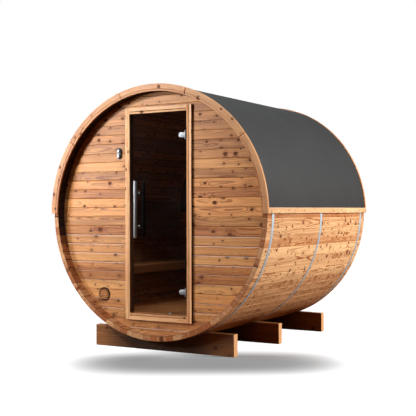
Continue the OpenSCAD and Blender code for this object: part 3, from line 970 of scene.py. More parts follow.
@dataclass
class StaveShell:
    """The round shell: staves side by side, with slightly uneven faces and ends."""

    barrel: Barrel
    panels: int = 12
    per_panel: int = 7
    arris: float = 0.002
    inner_arris: float = 0.0042
    uneven: float = 0.0004
    inside_darker: float = -1.2
    joint_painted_shade: float = -4.0
    reveal_painted_shade: tuple[float, float] = (-1.8, -3.6)
    reveal_shade_levels: tuple[float, float] = (-0.5, -0.1)
    end_step: float = 0.0012
    faces_in: float = 0.9
    faces_joint: float = 0.3

    def stave(self, angle: float, chance: random.Random) -> Solid:
        """Shapes the stave whose middle lies at an angle."""
        barrel = self.barrel
        half = math.pi / self.panels / self.per_panel
        front = barrel.front + chance.random() * self.end_step
        outer = barrel.outer - chance.random() * self.uneven
        solid = Solid.arc(barrel.centre, (barrel.inner, outer), (front, barrel.rear),
                          (angle - half, angle + half), steps=2)
        walls = (Box.of("front_wall_left").low.y, Box.of("rear_wall").high.y)
        for y in walls:
            solid.score(Y * y, Y)
        solid.soften(self.inner_arris, 1, self.on_inside)
        solid.soften(self.arris, 1)
        solid.bm.normal_update()
        # painted shade: beyond the end walls the inner faces darken, nearly black from just below the centre
        # line up, and the inner joint bevels turn nearly black; the inner faces inside the cabin are made
        # darker
        low, high = self.reveal_shade_levels
        shaded = min(1.0, max(0.0, (math.sin(angle) - low) / (high - low)))
        reveal = self.reveal_painted_shade[0] + shaded * (self.reveal_painted_shade[1] - self.reveal_painted_shade[0])
        for face in solid.bm.faces:
            inward = -face.normal.dot(heading(angle))
            within = walls[0] < face.calc_center_median().y < walls[1]
            if inward > self.faces_in:
                face[solid.wear_and_painted_light] = self.inside_darker if within else reveal
            elif inward > self.faces_joint:
                face[solid.wear_and_painted_light] = self.joint_painted_shade
        return solid

    def on_inside(self, edge: bmesh.types.BMEdge) -> bool:
        """Tells whether an edge runs along the shell on its inner face."""
        middle = halfway(edge) - self.barrel.centre
        return runs(edge, Y) and math.hypot(middle.x, middle.z) < self.barrel.inner + HAIR

    def build(self, shop: Workshop) -> None:
        """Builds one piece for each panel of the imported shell."""
        chance = random.Random(STAVE_SEED)
        step = math.tau / self.panels
        for panel in range(1, self.panels + 1):
            boards = Boards()
            middle = math.pi / 2 - (panel - 1) * step
            for i in range(self.per_panel):
                angle = middle + ((i + 0.5) / self.per_panel - 0.5) * step
                out = heading(angle)
                grain = StraightGrain(self.barrel.centre + out * self.barrel.inner, Y, out.cross(Y))
                boards.add(self.stave(angle, chance), grain)
            shop.fit(f"staves_{panel:02d}", boards, Slot.SHELL, [f"stave_panel_{panel:02d}"])


@dataclass
class Hoops:
    """The steel bands round the shell."""

    barrel: Barrel
    thickness: float = 0.0012
    edge: float = 0.0004

    def build(self, shop: Workshop) -> None:
        """Builds a hoop for each packed band."""
        for place in ("front", "middle", "rear"):
            box = Box.of(f"band_{place}")
            outer = box.high.x
            hoop = Solid.arc(self.barrel.centre, (outer - self.thickness, outer), (box.low.y, box.high.y),
                             (0.0, math.tau), SHELL_SIDES)
            shop.fit(f"hoop_{place}", Fitting(hoop.soften(self.edge, 1)), Slot.BAND, [f"band_{place}"],
                     crease=50.0)


@dataclass
class Roof:
    """The felt over the upper half, with a batten along each lower edge."""

    barrel: Barrel
    thickness: float = 0.004
    felt_edge: float = 0.001
    arris: float = 0.002
    notch: float = 0.0003
    steps: int = 120
    spare: float = 0.01

    def felt(self) -> Solid:
        """Shapes the felt as one curved sheet, spun a little too far and trimmed level."""
        box, centre = Box.of("roof_felt"), self.barrel.centre
        outer = box.high.z - centre.z
        inner = box.low.z - centre.z
        low = math.asin(inner / outer) - self.spare
        sheet = Solid.arc(centre, (outer - self.thickness, outer), (box.low.y, box.high.y),
                          (low, math.pi - low), self.steps)
        sheet.trim(Vector((0.0, 0.0, box.low.z)), -Z)
        return sheet.soften(self.felt_edge, 1)

    def batten(self, side: int) -> Boards:
        """Shapes the batten on one side, with notches where it crosses the bands."""
        box = Box.of("batten_right")
        centre = self.barrel.centre
        under = self.barrel.outer + self.notch
        outline = [(under, centre.z), (box.high.x, centre.z), (box.high.x, box.high.z),
                   (self.barrel.reach(under, box.high.z), box.high.z)]
        solid = Solid.prism([Vector((side * x, box.low.y, z)) for x, z in outline], Y * box.size.y)
        boards = Boards()
        boards.add(solid.soften(self.arris),
                   StraightGrain(Vector((side * box.high.x, 0.0, box.middle.z)), Y, Z * -side))
        return boards

    def build(self, shop: Workshop) -> None:
        """Builds the felt and both battens."""
        shop.fit("roof_felt_sheet", Fitting(self.felt()), Slot.FELT, ["roof_felt"])
        for name, side in (("left", -1), ("right", 1)):
            shop.fit(f"edge_batten_{name}", self.batten(side), Slot.TRIM, [f"batten_{name}"],
                     finish=Special.BATTEN)


@dataclass
class ArchTrims:
    """The trims round the upper half of both barrel ends, each sawn from a few boards."""

    barrel: Barrel
    segments: int = 5
    joint: float = 0.0062
    arris: float = 0.002
    overhang: float = 0.002
    lip: float = 0.017
    lip_back: float = 0.003
    lip_gap: float = 0.0012

    def arch(self, node: str) -> Boards:
        """Shapes the boards of one arch: a broad face, and a narrow lip that stands back inside it."""
        box, centre = Box.of(node), self.barrel.centre
        outer = box.high.z - centre.z
        inner = self.barrel.inner - self.overhang
        split = inner + self.lip
        front, back = (self.lip_back, 0.0) if box.middle.y < 0 else (0.0, self.lip_back)
        step = math.pi / self.segments
        gap = self.joint / 2 / self.barrel.outer
        boards = Boards()
        for i in range(self.segments):
            start = i * step + (gap if i else 0.0)
            end = (i + 1) * step - (gap if i < self.segments - 1 else 0.0)
            grain = CurvedGrain(centre, (inner + outer) / 2)
            face = Solid.arc(centre, (split, outer), (box.low.y, box.high.y), (start, end), CURVE_STEPS)
            lip = Solid.arc(centre, (inner, split - self.lip_gap), (box.low.y + front, box.high.y - back),
                            (start, end), CURVE_STEPS)
            boards.add(face.soften(self.arris), grain)
            boards.add(lip.soften(self.arris, 1), grain)
        return boards

    def build(self, shop: Workshop) -> None:
        """Builds the front and the rear arch."""
        for end in ("front", "rear"):
            shop.fit(f"arch_{end}", self.arch(f"{end}_arch"), Slot.TRIM, [f"{end}_arch"])


@dataclass
class Cradles:
    """The three timbers that the barrel rests in."""

    barrel: Barrel
    seat_gap: float = 0.0003
    arris: float = 0.003
    steps: int = 40

    def timber(self, box: Box) -> Solid:
        """Shapes one timber: the seat's curve is spun from one vertex and closed along the straight sides.

        Args:
            box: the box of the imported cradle.

        Returns:
            The closed timber.
        """
        centre = self.barrel.centre
        radius = self.barrel.outer + self.seat_gap
        edge = math.acos((centre.z - box.high.z) / radius)
        solid = Solid()
        bm = solid.bm
        first = bm.verts.new(Vector((0.0, box.low.y, centre.z)) + heading(-math.pi / 2 - edge) * radius)
        made = bmesh.ops.spin(bm, geom=[first], cent=centre, axis=-Y, dvec=Vector(), angle=2 * edge,
                              steps=self.steps, use_merge=False, use_normal_flip=False, use_duplicate=False)
        last = only(bmesh.types.BMVert, made["geom_last"])[0]
        sides = [(box.high.x, box.high.z), (box.high.x, box.low.z), (box.low.x, box.low.z),
                 (box.low.x, box.high.z)]
        corners = [last, *[bm.verts.new(Vector((x, box.low.y, z))) for x, z in sides], first]
        for here, there in zip(corners, corners[1:]):
            bm.edges.new((here, there))
        bmesh.ops.contextual_create(bm, geom=bm.edges[:])
        solid.push(Y * box.size.y)
        return solid.soften(self.arris)

    def build(self, shop: Workshop) -> None:
        """Builds the front, middle and rear cradle."""
        for place in ("front", "middle", "rear"):
            box = Box.of(f"cradle_{place}")
            boards = Boards()
            middle = Vector((0.0, box.low.y, box.middle.z))
            boards.add(self.timber(box), StraightGrain(middle, X, Z))
            shop.fit(f"cradle_timber_{place}", boards, Slot.CRADLE, [f"cradle_{place}"])


@dataclass
class EndWalls:
    """The front and rear walls of level boards with V-joints, fitted to the round shell."""

    barrel: Barrel
    pitch: float = 0.0757
    first_joint: float = 0.049
    gap: float = 0.0034
    bevel: float = 0.0044
    least_board: float = 0.0136
    tongue_depth: float = 0.012
    vent_bore: float = 0.045
    overshoot: float = 0.01
    highlight_below: float = -0.15
    highlight_slope: float = 0.4
    painted_highlight_mark: float = 2.5

    def joints(self) -> list[float]:
        """Lists the heights of the joints, from the centre line."""
        lowest = math.ceil((-self.barrel.fit - self.first_joint) / self.pitch)
        highest = math.floor((self.barrel.fit - self.first_joint) / self.pitch)
        return [self.first_joint + i * self.pitch for i in range(lowest, highest + 1)]

    def strip(self, low: float, high: float, depth: tuple[float, float], hole: Box | None) -> Solid:
        """Shapes a level strip of the round wall.

        Args:
            low: lower edge, from the centre line.
            high: upper edge, from the centre line.
            depth: y of the face that is drawn, and of the other face.
            hole: the door frame's box, which is left open, or None.

        Returns:
            The closed strip, or two where the frame parts it.
        """
        centre = self.barrel.centre + Y * depth[0]
        solid = Solid.disc(centre, self.barrel.fit, SHELL_SIDES)
        solid.score(centre + Z * high, Z, drop=True)
        solid.score(centre + Z * low, -Z, drop=True)
        if hole is not None and low + centre.z < hole.high.z and high + centre.z > hole.low.z:
            for point, normal in ((hole.low, X), (hole.high, X), (hole.low, Z), (hole.high, Z)):
                solid.score(Vector((point.x, centre.y, point.z)), normal)
            inside = [face for face in solid.bm.faces if self.covers(hole, face.calc_center_median())]
            bmesh.ops.delete(solid.bm, geom=inside, context="FACES")
            bmesh.ops.dissolve_faces(solid.bm, faces=solid.bm.faces[:], use_verts=False)
        return solid.push(Y * (depth[1] - depth[0]))

    @staticmethod
    def covers(hole: Box, point: Vector) -> bool:
        """Tells whether a point lies within the hole, seen along Y."""
        return hole.low.x < point.x < hole.high.x and hole.low.z < point.z < hole.high.z

    def wall(self, depth: tuple[float, float], top: float, hole: Box | None, bore: Vector | None) -> Boards:
        """Shapes a whole wall of boards and the tongues behind their joints.

        Args:
            depth: y of the outer face and of the inner face.
            top: the wall's upper edge, from the centre line.
            hole: the door frame's box, or None.
            bore: the middle of the vent hole, or None.

        Returns:
            The wall's boards.
        """
        boards = Boards()
        levels = [-self.barrel.fit, *[z for z in self.joints() if z < top - self.least_board], top]
        inward = math.copysign(1.0, depth[1] - depth[0])
        tongue = (depth[0] + inward * self.tongue_depth, depth[1])
        for i, (low, high) in enumerate(zip(levels, levels[1:])):
            bottom = low + (self.gap / 2 if i else -HAIR)
            upper = high - (self.gap / 2 if i < len(levels) - 2 else 0.0)
            board = self.strip(bottom, upper, depth, hole)
            self.bore(board, bore, bottom, upper, depth)
            edges = (self.barrel.height + bottom, self.barrel.height + upper)
            board.soften(self.bevel, 1, lambda edge: self.on_joint(edge, depth[0], edges))
            # boards below this level get a painted highlight on their upward bevels
            if upper < self.highlight_below:
                self.plane(board)
            middle = Vector((0.0, depth[0], self.barrel.height + (low + high) / 2))
            grain = StraightGrain(middle, X, Z)
            boards.add(board, grain)
            if i:
                strip = self.strip(low - self.gap / 2, low + self.gap / 2, tongue, hole)
                self.bore(strip, bore, low, low, depth)
                boards.add(strip, grain)
        return boards

    def plane(self, board: Solid) -> None:
        """Paints the bevels that face upward pale, a painted highlight as if they caught light from above.
        """
        for face in board.bm.faces:
            face.normal_update()
            if face.normal.z > self.highlight_slope and abs(face.normal.y) > self.highlight_slope:
                face[board.wear_and_painted_light] = self.painted_highlight_mark

    def bore(self, board: Solid, at: Vector | None, low: float, high: float,
             depth: tuple[float, float]) -> None:
        """Bores the vent hole through a board that it meets.

        Args:
            board: the board.
            at: the middle of the vent hole, or None.
            low: the board's lower edge, from the centre line.
            high: the board's upper edge, from the centre line.
            depth: y of the wall's two faces.
        """
        if at is None:
            return
        level = at.z - self.barrel.height
        if low < level + self.vent_bore and high > level - self.vent_bore:
            start = Vector((at.x, min(depth) - self.overshoot, at.z))
            board.drill(start, start + Y * (abs(depth[1] - depth[0]) + 2 * self.overshoot), self.vent_bore)

    @staticmethod
    def on_joint(edge: bmesh.types.BMEdge, face: float, levels: Sequence[float]) -> bool:
        """Tells whether an edge lies on a board's face along a joint."""
        middle = halfway(edge)
        near = any(abs(middle.z - level) < HAIR for level in levels)
        return runs(edge, X) and near and abs(middle.y - face) < HAIR

    def build(self, shop: Workshop) -> None:
        """Builds both walls."""
        front = Box.of("front_wall_left")
        opening = Box.of("door_jamb_left", "door_jamb_right")
        boards = self.wall((front.low.y, front.high.y), self.barrel.fit, opening,
                           Box.of("vent_grille").middle)
        parts = [f"front_wall_{side}" for side in ("left", "right", "top", "bottom")]
        shop.fit("front_wall_boards", boards, Slot.WALL, parts)
        rear = Box.of("rear_wall")
        boards = self.wall((rear.high.y, rear.low.y), rear.high.z - self.barrel.height, None, None)
        shop.fit("rear_wall_boards", boards, Slot.WALL, ["rear_wall"])


@dataclass
class HalfMoonWindow:
    """The window over the rear wall: a curved frame, a bottom rail and the glass."""

    barrel: Barrel
    ring_width: float = 0.045
    groove: float = 0.0103
    groove_gap: float = 0.0006
    segments: int = 5
    arris: float = 0.003

    def frame(self) -> Boards:
        """Shapes the frame's curved boards and its rail."""
        box, centre = Box.of("window_frame"), self.barrel.centre
        outer = self.barrel.fit
        inner = outer - self.ring_width
        depth = (box.low.y, box.high.y)
        rail_top = Box.of("window_glass").low.z + self.groove - self.groove_gap
        boards = Boards()
        step = math.pi / self.segments
        for i in range(self.segments):
            board = Solid.arc(centre, (inner, outer), depth, (i * step, (i + 1) * step), CURVE_STEPS)
            if i in (0, self.segments - 1):
                board.trim(Vector((0.0, 0.0, rail_top)), -Z)
            boards.add(board.soften(self.arris), CurvedGrain(centre, (inner + outer) / 2))
        rail = Solid.disc(centre + Y * depth[0], outer, SHELL_SIDES)
        rail.score(Vector((0.0, 0.0, rail_top)), Z, drop=True)
        rail.score(Vector((0.0, 0.0, box.low.z)), -Z, drop=True)
        rail.push(Y * box.size.y).soften(self.arris)
        boards.add(rail, StraightGrain(Vector((0.0, depth[1], box.low.z)), X, Z))
        return boards

    def build(self, shop: Workshop) -> None:
        """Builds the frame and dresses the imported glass."""
        shop.fit("half_moon_frame", self.frame(), Slot.TRIM, ["window_frame"])
        shop.keep("window_glass", Special.WINDOW)


@dataclass
class DoorFrame:
    """The moulded frame round the doorway: two jambs, with a head and a sill between them."""

    bead: float = 0.015
    groove_width: float = 0.005
    groove_depth: float = 0.004
    step: float = 0.002
    arris: float = 0.0012
    outer_painted_shade: float = -4.0
    inner_painted_shade: float = -3.2
    faces_out: float = 0.6
    faces_in: float = -0.95

    def profile(self, width: float, depth: float) -> list[tuple[float, float]]:
        """Lists the outline's corners: across the face from the opening, and back into the wall."""
        inside = self.bead + self.groove_width
        return [(0.0, 0.0), (self.bead, 0.0), (self.bead, self.groove_depth), (inside, self.groove_depth),
                (inside, self.step), (width, self.step), (width, depth), (0.0, depth)]

    def length(self, start: Vector, out: Vector, run: Vector, width: float, depth: float) -> Solid:
        """Shapes one length of the moulding.

        Args:
            start: the corner at the front, on the opening's edge.
            out: direction across the face, away from the opening.
            run: the moulding's whole length as a vector.
            width: its width across the face.
            depth: its depth.

        Returns:
            The closed moulding.
        """
        outline = [start + out * across + Y * back for across, back in self.profile(width, depth)]
        solid = Solid.prism(outline, run).soften(self.arris)
        solid.bm.normal_update()
        # painted shade: faces turned away from the opening go black, and those along the opening nearly
        # black
        for face in solid.bm.faces:
            facing = face.normal.dot(out)
            if facing > self.faces_out:
                face[solid.wear_and_painted_light] = self.outer_painted_shade
            elif facing < self.faces_in:
                face[solid.wear_and_painted_light] = self.inner_painted_shade
        return solid

    def build(self, shop: Workshop) -> None:
        """Builds the four lengths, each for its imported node."""
        left, right = Box.of("door_jamb_left"), Box.of("door_jamb_right")
        head, sill = Box.of("door_head"), Box.of("door_sill")
        starts = {
            "door_jamb_left": (left, Vector((left.high.x, left.low.y, left.low.z)), -X, Z * left.size.z),
            "door_jamb_right": (right, right.low, X, Z * right.size.z),
            "door_head": (head, head.low, Z, X * head.size.x),
            "door_sill": (sill, Vector((sill.low.x, sill.low.y, sill.high.z)), -Z, X * sill.size.x),
        }
        for node, (box, start, out, run) in starts.items():
            width = abs(box.size.dot(out))
            boards = Boards()
            boards.add(self.length(start, out, run, width, box.size.y),
                       StraightGrain(start + out * width / 2, run.normalized(), out))
            shop.fit(node.replace("door", "moulding"), boards, Slot.FRAME, [node])


@dataclass
class GlassDoor:
    """The pane, its two pull bars and the catch on its lower edge."""

    corner: float = 0.004
    polish: float = 0.0008
    standoff: float = 0.006
    span: float = 0.275
    collar: tuple[float, float] = (0.009, 0.003)
    bar_edge: float = 0.002
    collar_edge: float = 0.0008
    clip_edge: float = 0.0007

    def pane(self) -> Solid:
        """Shapes the pane, with rounded corners and polished edges."""
        box = Box.of("door_glass")
        solid = Solid.block(box.low, box.high)
        solid.soften(self.corner, 4, lambda edge: runs(edge, Y))
        return solid.soften(self.polish, 1)

    def pull(self, node: str, side: int) -> Fitting:
        """Shapes one pull bar with its standoffs and their collars.

        Args:
            node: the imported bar.
            side: -1 outside the pane, 1 inside.

        Returns:
            The bar.
        """
        box, pane = Box.of(node), Box.of("door_glass")
        radius = box.size.x / 2
        middle_x = box.middle.x
        bar_y = box.low.y + radius if side < 0 else box.high.y - radius
        face_y = pane.low.y if side < 0 else pane.high.y
        low = Vector((middle_x, bar_y, box.low.z))
        made = Fitting(Solid.rod(low, low + Z * box.size.z, radius, BORE_SIDES).soften(self.bar_edge, 3))
        for end in (-1, 1):
            foot = Vector((middle_x, face_y, box.middle.z + end * self.span / 2))
            bar = Vector((middle_x, bar_y, foot.z))
            made.take(Solid.rod(foot, bar, self.standoff))
            ring = foot + (bar - foot).normalized() * self.collar[1]
            made.take(Solid.rod(foot, ring, self.collar[0]).soften(self.collar_edge))
        return made

    def catch(self) -> Solid:
        """Shapes the clip that is folded round the pane's lower edge."""
        box, pane = Box.of("door_catch"), Box.of("door_glass")
        outline = [(box.low.y, box.low.z), (box.high.y, box.low.z), (box.high.y, box.high.z),
                   (pane.high.y, box.high.z), (pane.high.y, pane.low.z), (pane.low.y, pane.low.z),
                   (pane.low.y, box.high.z), (box.low.y, box.high.z)]
        clip = Solid.prism([Vector((box.low.x, y, z)) for y, z in outline], X * box.size.x)
        return clip.soften(self.clip_edge)

    def build(self, shop: Workshop) -> None:
        """Builds the pane, both bars and the catch."""
        shop.fit("door_pane", Fitting(self.pane()), Slot.GLASS, ["door_glass"], Body.DOOR)
        for name, side, finish in (("outer", -1, None), ("inner", 1, Special.SHADED_INNER_PULL)):
            node = f"door_handle_{name}"
            shop.fit(f"pull_bar_{name}", self.pull(node, side), Slot.STEEL, [node], Body.DOOR, crease=40.0,
                     finish=finish)
        shop.fit("catch_clip", Fitting(self.catch()), Slot.STEEL, ["door_catch"], Body.DOOR, crease=40.0)


@dataclass
class DoorHinge:
    """A clamp hinge: a leaf with two knuckles on the jamb, and plates that grip the pane."""

    place: str
    leaf: float = 0.003
    knuckle: float = 0.006
    gap: float = 0.0005
    edge: float = 0.0012
    small_edge: float = 0.0006
    clamp: float = 0.008
    roundness: float = 0.98
    screw: float = 0.0062
    screw_sides: int = 28
    screw_foot: float = 0.0005
    screw_rise: float = 0.0013
    screw_inset: float = 3.2
    socket: float = 0.0028
    socket_depth: float = 0.0015

    def plate(self, front: float, back: float) -> Solid:
        """Shapes a clamp plate whose free end is round."""
        box = Box.of(f"hinge_{self.place}_clamp")
        right = box.high.x - 2 * self.knuckle
        solid = Solid.block(Vector((box.low.x, front, box.low.z)), Vector((right, back, box.high.z)))
        half = box.size.z / 2
        solid.soften(half * self.roundness, 10,
                     lambda edge: runs(edge, Y) and edge.verts[0].co.x < box.middle.x)
        return solid.soften(self.edge)

    def screw_head(self, at: Vector) -> Solid:
        """Shapes a round screw head with a round socket, facing -Y."""
        head = Solid.rod(at + Y * self.screw_foot, at - Y * self.screw_rise, self.screw, self.screw_sides)
        cap = min(head.bm.faces, key=lambda face: face.calc_center_median().y)
        bmesh.ops.inset_region(head.bm, faces=[cap], thickness=self.screw - self.socket, depth=0.0)
        head.draw([cap], Y * self.socket_depth)
        bmesh.ops.delete(head.bm, geom=[cap], context="FACES_ONLY")
        return head

    def sleeve(self, pin: Vector, levels: tuple[float, float]) -> Solid:
        """Shapes a knuckle about the pin, from one level to another."""
        start = Vector((pin.x, pin.y, levels[0]))
        return Solid.rod(start, start + Z * (levels[1] - levels[0]), self.knuckle).soften(self.small_edge)

    def moving(self) -> Fitting:
        """Shapes the plates on the pane, their screws, the arm and the middle knuckle."""
        box, pane = Box.of(f"hinge_{self.place}_clamp"), Box.of("door_glass")
        pin = Vector((box.high.x - self.knuckle, box.low.y + self.knuckle, 0.0))
        front = pane.low.y - self.clamp
        made = Fitting(self.plate(front, pane.low.y), self.plate(pane.high.y, box.high.y))
        arm = Solid.block(Vector((pin.x - self.knuckle, pin.y, box.low.z)),
                          Vector((pin.x, pane.low.y, box.high.z)))
        made.take(arm.soften(self.small_edge, 1))
        made.take(self.sleeve(pin, (box.low.z, box.high.z)))
        for x in (box.low.x + box.size.z / 2, box.high.x - self.screw_inset * self.knuckle):
            made.take(self.screw_head(Vector((x, front, box.middle.z))))
        return made

    def fixed(self) -> Fitting:
        """Shapes the leaf on the jamb, its two knuckles and the pin's ends."""
        box, clamp = Box.of(f"hinge_{self.place}_leaf"), Box.of(f"hinge_{self.place}_clamp")
        pin = Vector((box.low.x + self.knuckle, box.low.y + self.knuckle, 0.0))
        front = pin.y + self.knuckle + self.gap
        leaf = Solid.block(Vector((box.high.x - self.leaf, front, box.low.z)), box.high)
        made = Fitting(leaf.soften(self.edge / 2))
        for low, high in ((box.low.z, clamp.low.z - self.gap), (clamp.high.z + self.gap, box.high.z)):
            made.take(self.sleeve(pin, (low, high)))
            ear = Solid.block(Vector((pin.x, pin.y, low)), Vector((box.high.x, front + self.leaf, high)))
            made.take(ear.soften(self.small_edge, 1))
        return made

    def build(self, shop: Workshop) -> None:
        """Builds the moving and the fixed half."""
        clamp, leaf = f"hinge_{self.place}_clamp", f"hinge_{self.place}_leaf"
        shop.fit(f"{clamp}_plates", self.moving(), Slot.STEEL, [clamp], Body.DOOR, crease=35.0)
        shop.fit(f"{leaf}_plate", self.fixed(), Slot.STEEL, [leaf], crease=35.0)


@dataclass
class Vent:
    """The round louvre low in the front wall: level slats on a round core, over a ring painted nearly black
    as painted shade.
    """

    slats: int = 6
    pitch: float = 0.0152
    slat: float = 0.0060
    slat_reach: float = 0.93
    core: float = 0.034
    core_back: float = 0.0006
    ring_inner: float = 0.0447
    ring_outer: float = 0.0545
    ring_depth: float = 0.0085
    arris: float = 0.0007
    ring_painted_shade: float = -4.0
    slat_darker: float = -0.7
    slat_sides: int = 96
    core_sides: int = 64

    def strip(self, middle: Vector, radius: float, level: float, back: float) -> Solid:
        """Shapes the slat at a level.

        Args:
            middle: the louvre's middle on its front face.
            radius: radius of the slats' round outline.
            level: the slat's own middle, from the louvre's.
            back: how deep the slat is.

        Returns:
            The closed slat.
        """
        solid = Solid.disc(middle, radius, self.slat_sides)
        solid.score(middle + Z * (level + self.slat / 2), Z, drop=True)
        solid.score(middle + Z * (level - self.slat / 2), -Z, drop=True)
        return self.mark_all_faces(solid.push(Y * back).soften(self.arris, 1), self.slat_darker)

    @staticmethod
    def mark_all_faces(solid: Solid, wear_and_painted_light: float) -> Solid:
        """Gives every face of a shape the same value of the wear and painted light mark."""
        for face in solid.bm.faces:
            face[solid.wear_and_painted_light] = wear_and_painted_light
        return solid

    def build(self, shop: Workshop) -> None:
        """Builds the slats, the core and the two halves of the ring behind them."""
        box = Box.of("vent_grille")
        middle = box.middle
        face = Vector((middle.x, box.low.y, middle.z))
        ring_front = box.high.y - self.ring_depth
        thickness = ring_front - box.low.y
        boards = Boards()
        for i in range(self.slats):
            level = (i - (self.slats - 1) / 2) * self.pitch
            slat = self.strip(face, box.size.x / 2 * self.slat_reach, level, thickness)
            boards.add(slat, StraightGrain(face + Z * level, X, Z))
        core = Solid.disc(face + Y * self.core_back, self.core, self.core_sides)
        core.push(Y * (thickness - self.core_back)).soften(self.arris, 1)
        boards.add(self.mark_all_faces(core, self.slat_darker), StraightGrain(face, X, Z))
        # painted shade: the ring halves behind the slats are nearly black
        for start in (-math.pi / 2, math.pi / 2):
            half = Solid.arc(middle, (self.ring_inner, self.ring_outer), (ring_front, box.high.y),
                             (start, start + math.pi), 2 * CURVE_STEPS)
            boards.add(self.mark_all_faces(half, self.ring_painted_shade), StraightGrain(face, X, Z))
        shop.fit("vent_louvre", boards, Slot.WALL, ["vent_grille"])


@dataclass
class Switch:
    """The light switch: a pill-shaped plate with two round knobs."""

    edge: float = 0.0045
    roundness: float = 0.99
    knob_spread: float = 0.023
    knob_share: float = 0.84
    knob_taper: float = 0.9
    knob_edge: float = 0.003

    def build(self, shop: Workshop) -> None:
        """Builds the plate and the knobs."""
        box, knobs_box = Box.of("switch_plate"), Box.of("switch_knobs")
        plate = Solid.block(box.low, box.high)
        plate.soften(box.size.x / 2 * self.roundness, 12, lambda edge: runs(edge, Y))
        plate.soften(self.edge, 4, lambda edge: lies_at(edge, box.low.y))
        shop.fit("switch_cover", Fitting(plate), Slot.PLASTIC, ["switch_plate"], crease=40.0)
        made = Fitting()
        radius = knobs_box.size.x / 2 * self.knob_share
        for side in (-1, 1):
            at = Vector((box.middle.x, knobs_box.high.y, box.middle.z + side * self.knob_spread))
            knob = Solid.rod(at, at - Y * knobs_box.size.y, radius, tip=radius * self.knob_taper)
            made.take(knob.soften(self.knob_edge, 4, lambda edge: lies_at(edge, knobs_box.low.y)))
        shop.fit("switch_buttons", made, Slot.CHROME, ["switch_knobs"], crease=40.0)


@dataclass
class FloorDeck:
    """The floor boards, which run from the door to the rear wall."""

    barrel: Barrel
    count: int = 8
    gap: float = 0.0025
    arris: float = 0.0015

    def build(self, shop: Workshop) -> None:
        """Builds the boards; the outer two follow the shell."""
        box = Box.of("floor_deck")
        under = self.barrel.reach(self.barrel.fit, box.low.z)
        width = (box.size.x + self.gap) / self.count
        boards = Boards()
        for i in range(self.count):
            left = box.low.x + i * width
            right = left + width - self.gap
            foot_left = max(left, -under)
            foot_right = min(right, under)
            outline = [(foot_left, box.low.z), (foot_right, box.low.z), (right, box.high.z),
                       (left, box.high.z)]
            board = Solid.prism([Vector((x, box.low.y, z)) for x, z in outline], Y * box.size.y)
            middle = Vector(((left + right) / 2, 0.0, box.high.z))
            boards.add(board.soften(self.arris, 1), StraightGrain(middle, Y, X))
        shop.fit("floor_boards", boards, Slot.FLOOR, ["floor_deck"])


def against_shell(barrel: Barrel, face: float, levels: tuple[float, float], middle: float,
                  width: float) -> Solid:
    """Shapes an upright timber that reaches from a flat face to the left inside of the shell.

    Args:
        barrel: the shell's sizes.
        face: x of the flat face.
        levels: its lower and upper end.
        middle: y of its middle.
        width: its width along the barrel.

    Returns:
        The closed timber.
    """
    low, high = levels
    low_reach, high_reach = (barrel.reach(barrel.fit, level) for level in levels)
    corners = ((face, low), (face, high), (-high_reach, high), (-low_reach, low))
    return Solid.prism([Vector((x, middle - width / 2, z)) for x, z in corners], Y * width)


@dataclass
class Bench:
    """The slatted bench along the left wall, with its front rail, bearers and legs."""

    barrel: Barrel
    slats: int = 4
    slat_gap: float = 0.012
    board: float = 0.028
    bearer: float = 0.045
    rail: float = 0.070
    inset: float = 0.173
    arris: float = 0.004
    small_arris: float = 0.002
    grain_level: float = 0.5

    def seat(self) -> Boards:
        """Shapes the seat's slats."""
        box = Box.of("bench_seat")
        width = (box.size.x - (self.slats - 1) * self.slat_gap) / self.slats
        boards = Boards()
        for i in range(self.slats):
            left = box.low.x + i * (width + self.slat_gap)
            low = Vector((left, box.low.y, box.low.z))
            high = Vector((left + width, box.high.y, box.high.z))
            boards.add(Solid.block(low, high).soften(self.arris),
                       StraightGrain(Vector((left + width / 2, 0.0, box.high.z)), Y, X))
        return boards

    def support(self) -> Boards:
        """Shapes the front rail, and a bearer and a leg near each end."""
        box = Box.of("bench_frame")
        front, top = box.high.x, box.high.z
        rail_back = front - self.board
        boards = Boards()
        rail = Solid.block(Vector((rail_back, box.low.y, top - self.rail)), Vector((front, box.high.y, top)))
        boards.add(rail.soften(self.arris),
                   StraightGrain(Vector((front, 0.0, top - self.rail / 2)), Y, Z))
        bearer_top = top - self.board
        bearer_low = bearer_top - self.rail
        deck = Box.of("floor_deck")
        for y in (deck.low.y + self.inset, deck.high.y - self.inset):
            side = y - self.bearer / 2
            bearer = against_shell(self.barrel, rail_back, (bearer_low, bearer_top), y, self.bearer)
            boards.add(bearer.soften(self.small_arris, 1),
                       StraightGrain(Vector((rail_back, y, bearer_low)), X, Z))
            leg = Solid.block(Vector((rail_back - self.bearer, side, box.low.z)),
                              Vector((rail_back, side + self.bearer, bearer_low)))
            boards.add(leg.soften(self.small_arris, 1),
                       StraightGrain(Vector((rail_back, y, self.grain_level)), Z, Y))
        return boards

    def build(self, shop: Workshop) -> None:
        """Builds the seat and what carries it."""
        shop.fit("bench_slats", self.seat(), Slot.BENCH, ["bench_seat"])
        shop.fit("bench_support", self.support(), Slot.BENCH, ["bench_frame"])


